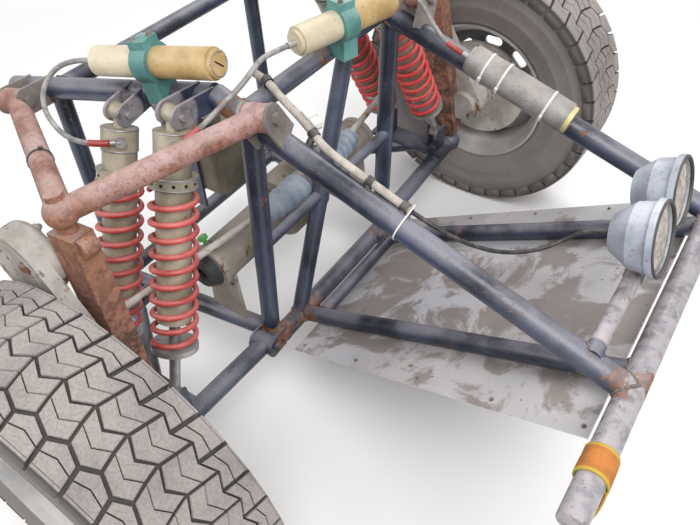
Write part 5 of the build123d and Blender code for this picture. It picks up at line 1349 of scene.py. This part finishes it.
# %% Belts round two circles
def belt_line(centre_a, radius_a, centre_b, radius_b, axis, lift=0.0011, steps=64):
    run = centre_b - centre_a
    run = run - axis * run.dot(axis)
    reach = run.length
    line = []
    if reach < 1e-6:
        first, second = basis(axis)[:2]
        return [centre_a + (first * cos(a) + second * sin(a)) * (radius_a + lift)
                for a in (2 * pi * step / steps for step in range(steps))]
    forward = run / reach
    side = axis.cross(forward)
    for step in range(steps):
        angle = 2 * pi * step / steps
        out = forward * cos(angle) + side * sin(angle)
        far = out.dot(forward) * reach + radius_b
        if far > radius_a:
            line.append(centre_a + forward * reach + out * (radius_b + lift))
        else:
            line.append(centre_a + out * (radius_a + lift))
    return line


def band_into(form, layer, line, axis, width, thickness):
    count = len(line)
    middle = sum(line, Vector()) / count
    rings = []
    for index, point in enumerate(line):
        run = (line[(index + 1) % count] - line[index - 1]).normalized()
        out = axis.cross(run)
        if out.dot(point - middle) < 0:
            out = -out
        corners = ((-width / 2, -thickness / 2), (width / 2, -thickness / 2), (width / 2, thickness / 2),
                   (-width / 2, thickness / 2))
        rings.append([form.verts.new(point + axis * a + out * b) for a, b in corners])
    for index in range(count):
        here, there = rings[index], rings[(index + 1) % count]
        for step in range(4):
            form.faces.new((here[step], here[(step + 1) % 4], there[(step + 1) % 4], there[step]))


def block_into(form, centre, forward, axis, size):
    side = axis.cross(forward).normalized()
    made = bmesh.ops.create_cube(form, size=1.0)["verts"]
    for vertex in made:
        along, across, up = vertex.co
        vertex.co = centre + forward * (along * size[0]) + axis * (across * size[1]) + side * (up * size[2])


nose_axis = Vector((0.823, 0.011, -0.256)).normalized()


def nose_at(x, side):
    share = (x - 0.510) / 0.823
    return Vector((x, side * (0.236 + share * 0.011), 0.314 - share * 0.256))


TIE_WIDTH = 0.0048
LEAD_TIE_WIDTH = 0.0028
TIE_THICK = 0.0014
HEAD_LIFT = 0.002
HEAD_SIZE = (0.008, 0.0065, 0.005)
LEAD_HEAD_SIZE = (0.006, 0.0045, 0.004)
form = bmesh.new()
layer = form.loops.layers.uv.new("UVMap")
bottle_start, bottle_end, bottle_r = BOTTLES[3]
for share in (0.16, 0.34, 0.80):
    centre = bottle_start.lerp(bottle_end, share)
    tube_centre = nose_at(0.510 + (centre - nose_at(0.510, 1)).dot(nose_axis) * nose_axis.x, 1)
    line = belt_line(tube_centre, MAIN_R, centre, bottle_r, nose_axis)
    band_into(form, layer, line, nose_axis, TIE_WIDTH, TIE_THICK)
    block_into(form, line[10] + (line[10] - centre).normalized() * HEAD_LIFT,
               (line[11] - line[9]).normalized(), nose_axis, HEAD_SIZE)
LEAD_TIE_X = 0.905
tube_centre = nose_at(LEAD_TIE_X, -1)
line = belt_line(tube_centre, MAIN_R, Vector((LEAD_TIE_X, -0.2190, 0.2150)), CONDUIT_R, nose_axis)
band_into(form, layer, line, nose_axis, LEAD_TIE_WIDTH, TIE_THICK)
block_into(form, line[4] + (line[4] - tube_centre).normalized() * HEAD_LIFT,
           (line[5] - line[3]).normalized(), nose_axis, LEAD_HEAD_SIZE)
arm_rear, arm_tip = Vector((0.090, -0.380, 0.240)), Vector((0.490, -0.580, 0.282))
arm_axis = (arm_tip - arm_rear).normalized()
ARM_TIE_SHARE = 0.60
ARM_R = 0.021
bmesh.ops.recalc_face_normals(form, faces=form.faces)
tie_mesh = bpy.data.meshes.new("zip_ties")
form.to_mesh(tie_mesh)
form.free()
add_piece("zip_ties", tie_mesh, "zip_white", "frame", smooth=False)
form = bmesh.new()
layer = form.loops.layers.uv.new("UVMap")
arm_centre = arm_rear.lerp(arm_tip, ARM_TIE_SHARE)
line = belt_line(arm_centre, ARM_R, arm_centre, ARM_R, arm_axis)
band_into(form, layer, line, arm_axis, TIE_WIDTH, TIE_THICK)
block_into(form, line[5] + (line[5] - arm_centre).normalized() * HEAD_LIFT, (line[6] - line[4]).normalized(),
           arm_axis, HEAD_SIZE)
bmesh.ops.recalc_face_normals(form, faces=form.faces)
arm_tie_mesh = bpy.data.meshes.new("arm_tie")
form.to_mesh(arm_tie_mesh)
form.free()
add_piece("arm_tie", arm_tie_mesh, "clip_black", "frame", smooth=False)
print("zip ties:", len(tie_mesh.polygons))

# %% [markdown]
# ## A connector and a breather cap
# A white two-part plug sits on the conduit where the lamp wires join it, and a green cap closes the breather
# on the back of the drive housing. The plug is four blocks in line. The cap is a profile turned round the
# breather's own axis, with every third point pulled in for grip.

# %% Plug on the conduit, cap on the housing
conduit_line = smooth_line("plug_route", CONDUIT)
PLUG_SHARE = 0.44
PLUG_BLOCKS = ((-0.011, (0.020, 0.021, 0.015)), (0.009, (0.020, 0.018, 0.013)),
               (-0.001, (0.003, 0.023, 0.017)), (0.0205, (0.005, 0.012, 0.008)))
plug_index = int(len(conduit_line) * PLUG_SHARE)
plug_at = conduit_line[plug_index]
plug_run = (conduit_line[plug_index + 3] - conduit_line[plug_index - 3]).normalized()
plug_across = plug_run.cross(Vector((0, 0, 1))).normalized()
plug_up = plug_across.cross(plug_run)
form = bmesh.new()
plug_seat = plug_at + plug_up * 0.0060 - plug_across * 0.0130
for slide, size in PLUG_BLOCKS:
    block_into(form, plug_seat + plug_run * slide, plug_run, plug_across, size)
bmesh.ops.recalc_face_normals(form, faces=form.faces)
bmesh.ops.bevel(form, geom=form.edges[:], offset=0.0009, segments=2, affect="EDGES")
plug_mesh = bpy.data.meshes.new("conduit_plug")
form.to_mesh(plug_mesh)
form.free()
add_piece("conduit_plug", plug_mesh, "zip_white", "frame", smooth=False)

BREATHER_FOOT = Vector((0.4250, -0.2700, -0.0730))
BREATHER_UP = Vector((-0.5, 0, 0.866))
BREATHER_SINK = 0.003
CAP_STEPS = 36
GRIP_DEPTH = 0.0006
GRIP_FROM_R = 0.011
CAP_PROFILE = ((0.0, 0.0050), (0.0120, 0.0050), (0.0125, 0.0105), (0.0135, 0.0115), (0.0210, 0.0115),
               (0.0235, 0.0100), (0.0245, 0.0060))
form = bmesh.new()
first, second, axis = basis(BREATHER_UP)
rings = []
for height, radius in CAP_PROFILE:
    ring = []
    for step in range(CAP_STEPS):
        angle = 2 * pi * step / CAP_STEPS
        grip = GRIP_DEPTH if step % 3 == 0 and radius > GRIP_FROM_R else 0.0
        out = (first * cos(angle) + second * sin(angle)) * (radius - grip)
        ring.append(form.verts.new(BREATHER_FOOT + axis * (height - BREATHER_SINK) + out))
    rings.append(ring)
for low, high in zip(rings[:-1], rings[1:]):
    for step in range(CAP_STEPS):
        nxt = (step + 1) % CAP_STEPS
        form.faces.new((low[step], low[nxt], high[nxt], high[step]))
form.faces.new(rings[-1])
form.faces.new(list(reversed(rings[0])))
bmesh.ops.recalc_face_normals(form, faces=form.faces)
cap_mesh = bpy.data.meshes.new("breather_cap")
form.to_mesh(cap_mesh)
form.free()
add_piece("breather_cap", cap_mesh, "cap_green", "frame", smooth=False)
print("plug faces:", len(plug_mesh.polygons), "cap faces:", len(cap_mesh.polygons))

# %% [markdown]
# ## Boot clamps
# A thin steel band holds each rubber boot on the rack housing, with a small screw block. It is the same belt
# as a zip tie's, round one circle.

# %% Steel bands on the boots
RACK_X = 0.525
RACK_Z = -0.020
BAND_Y = 0.0435
BAND_R = 0.0340
BAND_WIDTH = 0.007
BAND_THICK = 0.0016
BAND_SCREW_SIZE = (0.012, 0.009, 0.006)
rack_axis = Vector((0, 1, 0))
form = bmesh.new()
layer = form.loops.layers.uv.new("UVMap")
for side in (-1, 1):
    centre = Vector((RACK_X, side * BAND_Y, RACK_Z))
    line = belt_line(centre, BAND_R, centre, BAND_R, rack_axis, lift=BAND_THICK / 2)
    band_into(form, layer, line, rack_axis, BAND_WIDTH, BAND_THICK)
    block_into(form, line[8] + (line[8] - centre).normalized() * HEAD_LIFT, (line[9] - line[7]).normalized(),
               rack_axis, BAND_SCREW_SIZE)
bmesh.ops.recalc_face_normals(form, faces=form.faces)
band_mesh = bpy.data.meshes.new("boot_bands")
form.to_mesh(band_mesh)
form.free()
add_piece("boot_bands", band_mesh, "bolt_steel", "frame", smooth=False)
print("boot bands:", len(band_mesh.polygons))

# %% [markdown]
# ## Tow strap
# A flat webbing strap is looped round the bumper and its end hangs down. Flat webbing keeps its width and
# only bends across it, so it is a thin band carried along a line that wraps the tube and then falls away. Its
# UV map runs along it, so that the weave follows the turn.

# %% Webbing round the bumper
BUMPER_X = 1.333
BUMPER_Z = 0.058
STRAP_Y = -0.400
STRAP_WIDTH = 0.050
STRAP_THICK = 0.0030
STRAP_LIFT = 0.0022
STRAP_TAIL = 0.118
WRAP_STEPS = 57
TAIL_STEPS = 25
strap_line = []
for step in range(WRAP_STEPS + 1):
    share = step / WRAP_STEPS
    angle = radians(10 + 350 * share)
    radius = MAIN_R + STRAP_LIFT - 0.0004 + 0.0010 * share
    strap_line.append(Vector((BUMPER_X + radius * cos(angle), 0, BUMPER_Z + radius * sin(angle))))
for step in range(1, TAIL_STEPS + 1):
    share = step / TAIL_STEPS
    lean = 0.0046 * sin(share * pi * 1.1) - 0.0030 * share
    strap_line.append(Vector((BUMPER_X + MAIN_R + STRAP_LIFT + lean, 0, BUMPER_Z - STRAP_TAIL * share)))
form = bmesh.new()
layer = form.loops.layers.uv.new("UVMap")
ACROSS = 12
gone = 0.0
rings = []
marks = []
for index, point in enumerate(strap_line):
    before = strap_line[max(index - 1, 0)]
    after = strap_line[min(index + 1, len(strap_line) - 1)]
    run = (after - before).normalized()
    out = run.cross(Vector((0, 1, 0)))
    gone += (point - before).length
    marks.append(gone)
    outer_row = []
    inner_row = []
    for step in range(ACROSS + 1):
        share = step / ACROSS
        y = STRAP_Y + (share - 0.5) * STRAP_WIDTH
        ripple = 0.0004 * sin(share * 2 * pi + index * 0.35)
        middle = Vector((point.x, y, point.z)) + out * ripple
        outer_row.append(form.verts.new(middle + out * (STRAP_THICK / 2)))
        inner_row.append(form.verts.new(middle - out * (STRAP_THICK / 2)))
    rings.append(outer_row + list(reversed(inner_row)))
size = len(rings[0])
for index in range(len(rings) - 1):
    for step in range(size):
        nxt = (step + 1) % size
        corners = ((index, step), (index, nxt), (index + 1, nxt), (index + 1, step))
        face = form.faces.new([rings[mark][place] for mark, place in corners])
        for loop, (mark, place) in zip(face.loops, corners):
            across = place / ACROSS if place <= ACROSS else (size - 1 - place) / ACROSS
            loop[layer].uv = (marks[mark], min(max(across, 0.0), 1.0))
form.faces.new(rings[0])
form.faces.new(list(reversed(rings[-1])))
bmesh.ops.recalc_face_normals(form, faces=form.faces)
strap_mesh = bpy.data.meshes.new("tow_strap_webbing")
form.to_mesh(strap_mesh)
form.free()
strap = add_piece("tow_strap_webbing", strap_mesh, "strap_webbing", "frame")
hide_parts("tow_strap")
print("strap length", round(gone, 3))

# %% [markdown]
# ## Floor and light
# A pale floor just under the tyres, a soft key light from the front right, and a pale world. The world and
# the far floor are white where the camera sees them directly, and the object's shadow stays on the near
# floor.

# %% Floor, lights and world
def seen_directly(tree):
    path = tree.nodes.new("ShaderNodeLightPath").outputs
    direct = maths(tree, "MAXIMUM", path["Is Camera Ray"], path["Is Transmission Ray"])
    return maths(tree, "MAXIMUM", direct, path["Is Glossy Ray"])


FLOOR_Z = cad_box[0][2]
floor_mesh = bpy.data.meshes.new("floor")
floor_mesh.from_pydata([(-30, -30, FLOOR_Z), (30, -30, FLOOR_Z), (30, 30, FLOOR_Z), (-30, 30, FLOOR_Z)], [],
                       [(0, 1, 2, 3)])
floor = bpy.data.objects.new("floor", floor_mesh)
bpy.context.scene.collection.objects.link(floor)
floor_material, tree, shader, place = start_material("floor_paint")
shader.inputs["Base Color"].default_value = (0.86, 0.855, 0.85, 1)
shader.inputs["Roughness"].default_value = 0.9
glow = tree.nodes.new("ShaderNodeEmission")
glow.inputs["Color"].default_value = (1, 1, 1, 1)
far_off = span(tree, away_from(tree, place, (0.6, 0.0, FLOOR_Z)), 0.9, 3.4)
fade = tree.nodes.new("ShaderNodeMixShader")
link(tree, maths(tree, "MULTIPLY", far_off, seen_directly(tree)), fade.inputs[0])
link(tree, shader.outputs[0], fade.inputs[1])
link(tree, glow.outputs[0], fade.inputs[2])
link(tree, fade.outputs[0], tree.nodes["Material Output"].inputs["Surface"])
floor_mesh.materials.append(floor_material)


def area_light(name, place, aim, size, power):
    data = bpy.data.lights.new(name, "AREA")
    data.size = size
    data.energy = power
    lamp = bpy.data.objects.new(name, data)
    bpy.context.scene.collection.objects.link(lamp)
    lamp.location = place
    lamp.rotation_euler = (Vector(aim) - Vector(place)).to_track_quat("-Z", "Y").to_euler()


area_light("key", (2.6, -1.4, 3.2), (0.5, 0, 0), 2.4, 150)
area_light("fill", (-1.5, -2.6, 2.2), (0.4, 0, 0), 2.4, 50)
area_light("back", (0.0, 2.6, 2.6), (0.5, 0, 0), 2.4, 70)
world = bpy.data.worlds.new("world")
bpy.context.scene.world = world
world.use_nodes = True
world.node_tree.nodes["Background"].inputs["Color"].default_value = (1, 1, 1, 1)
link(world.node_tree, span(world.node_tree, seen_directly(world.node_tree), 0, 1, 0.45, 1.0),
     world.node_tree.nodes["Background"].inputs["Strength"])
bpy.context.scene.view_settings.view_transform = "Standard"
print("floor at", round(FLOOR_Z, 4))
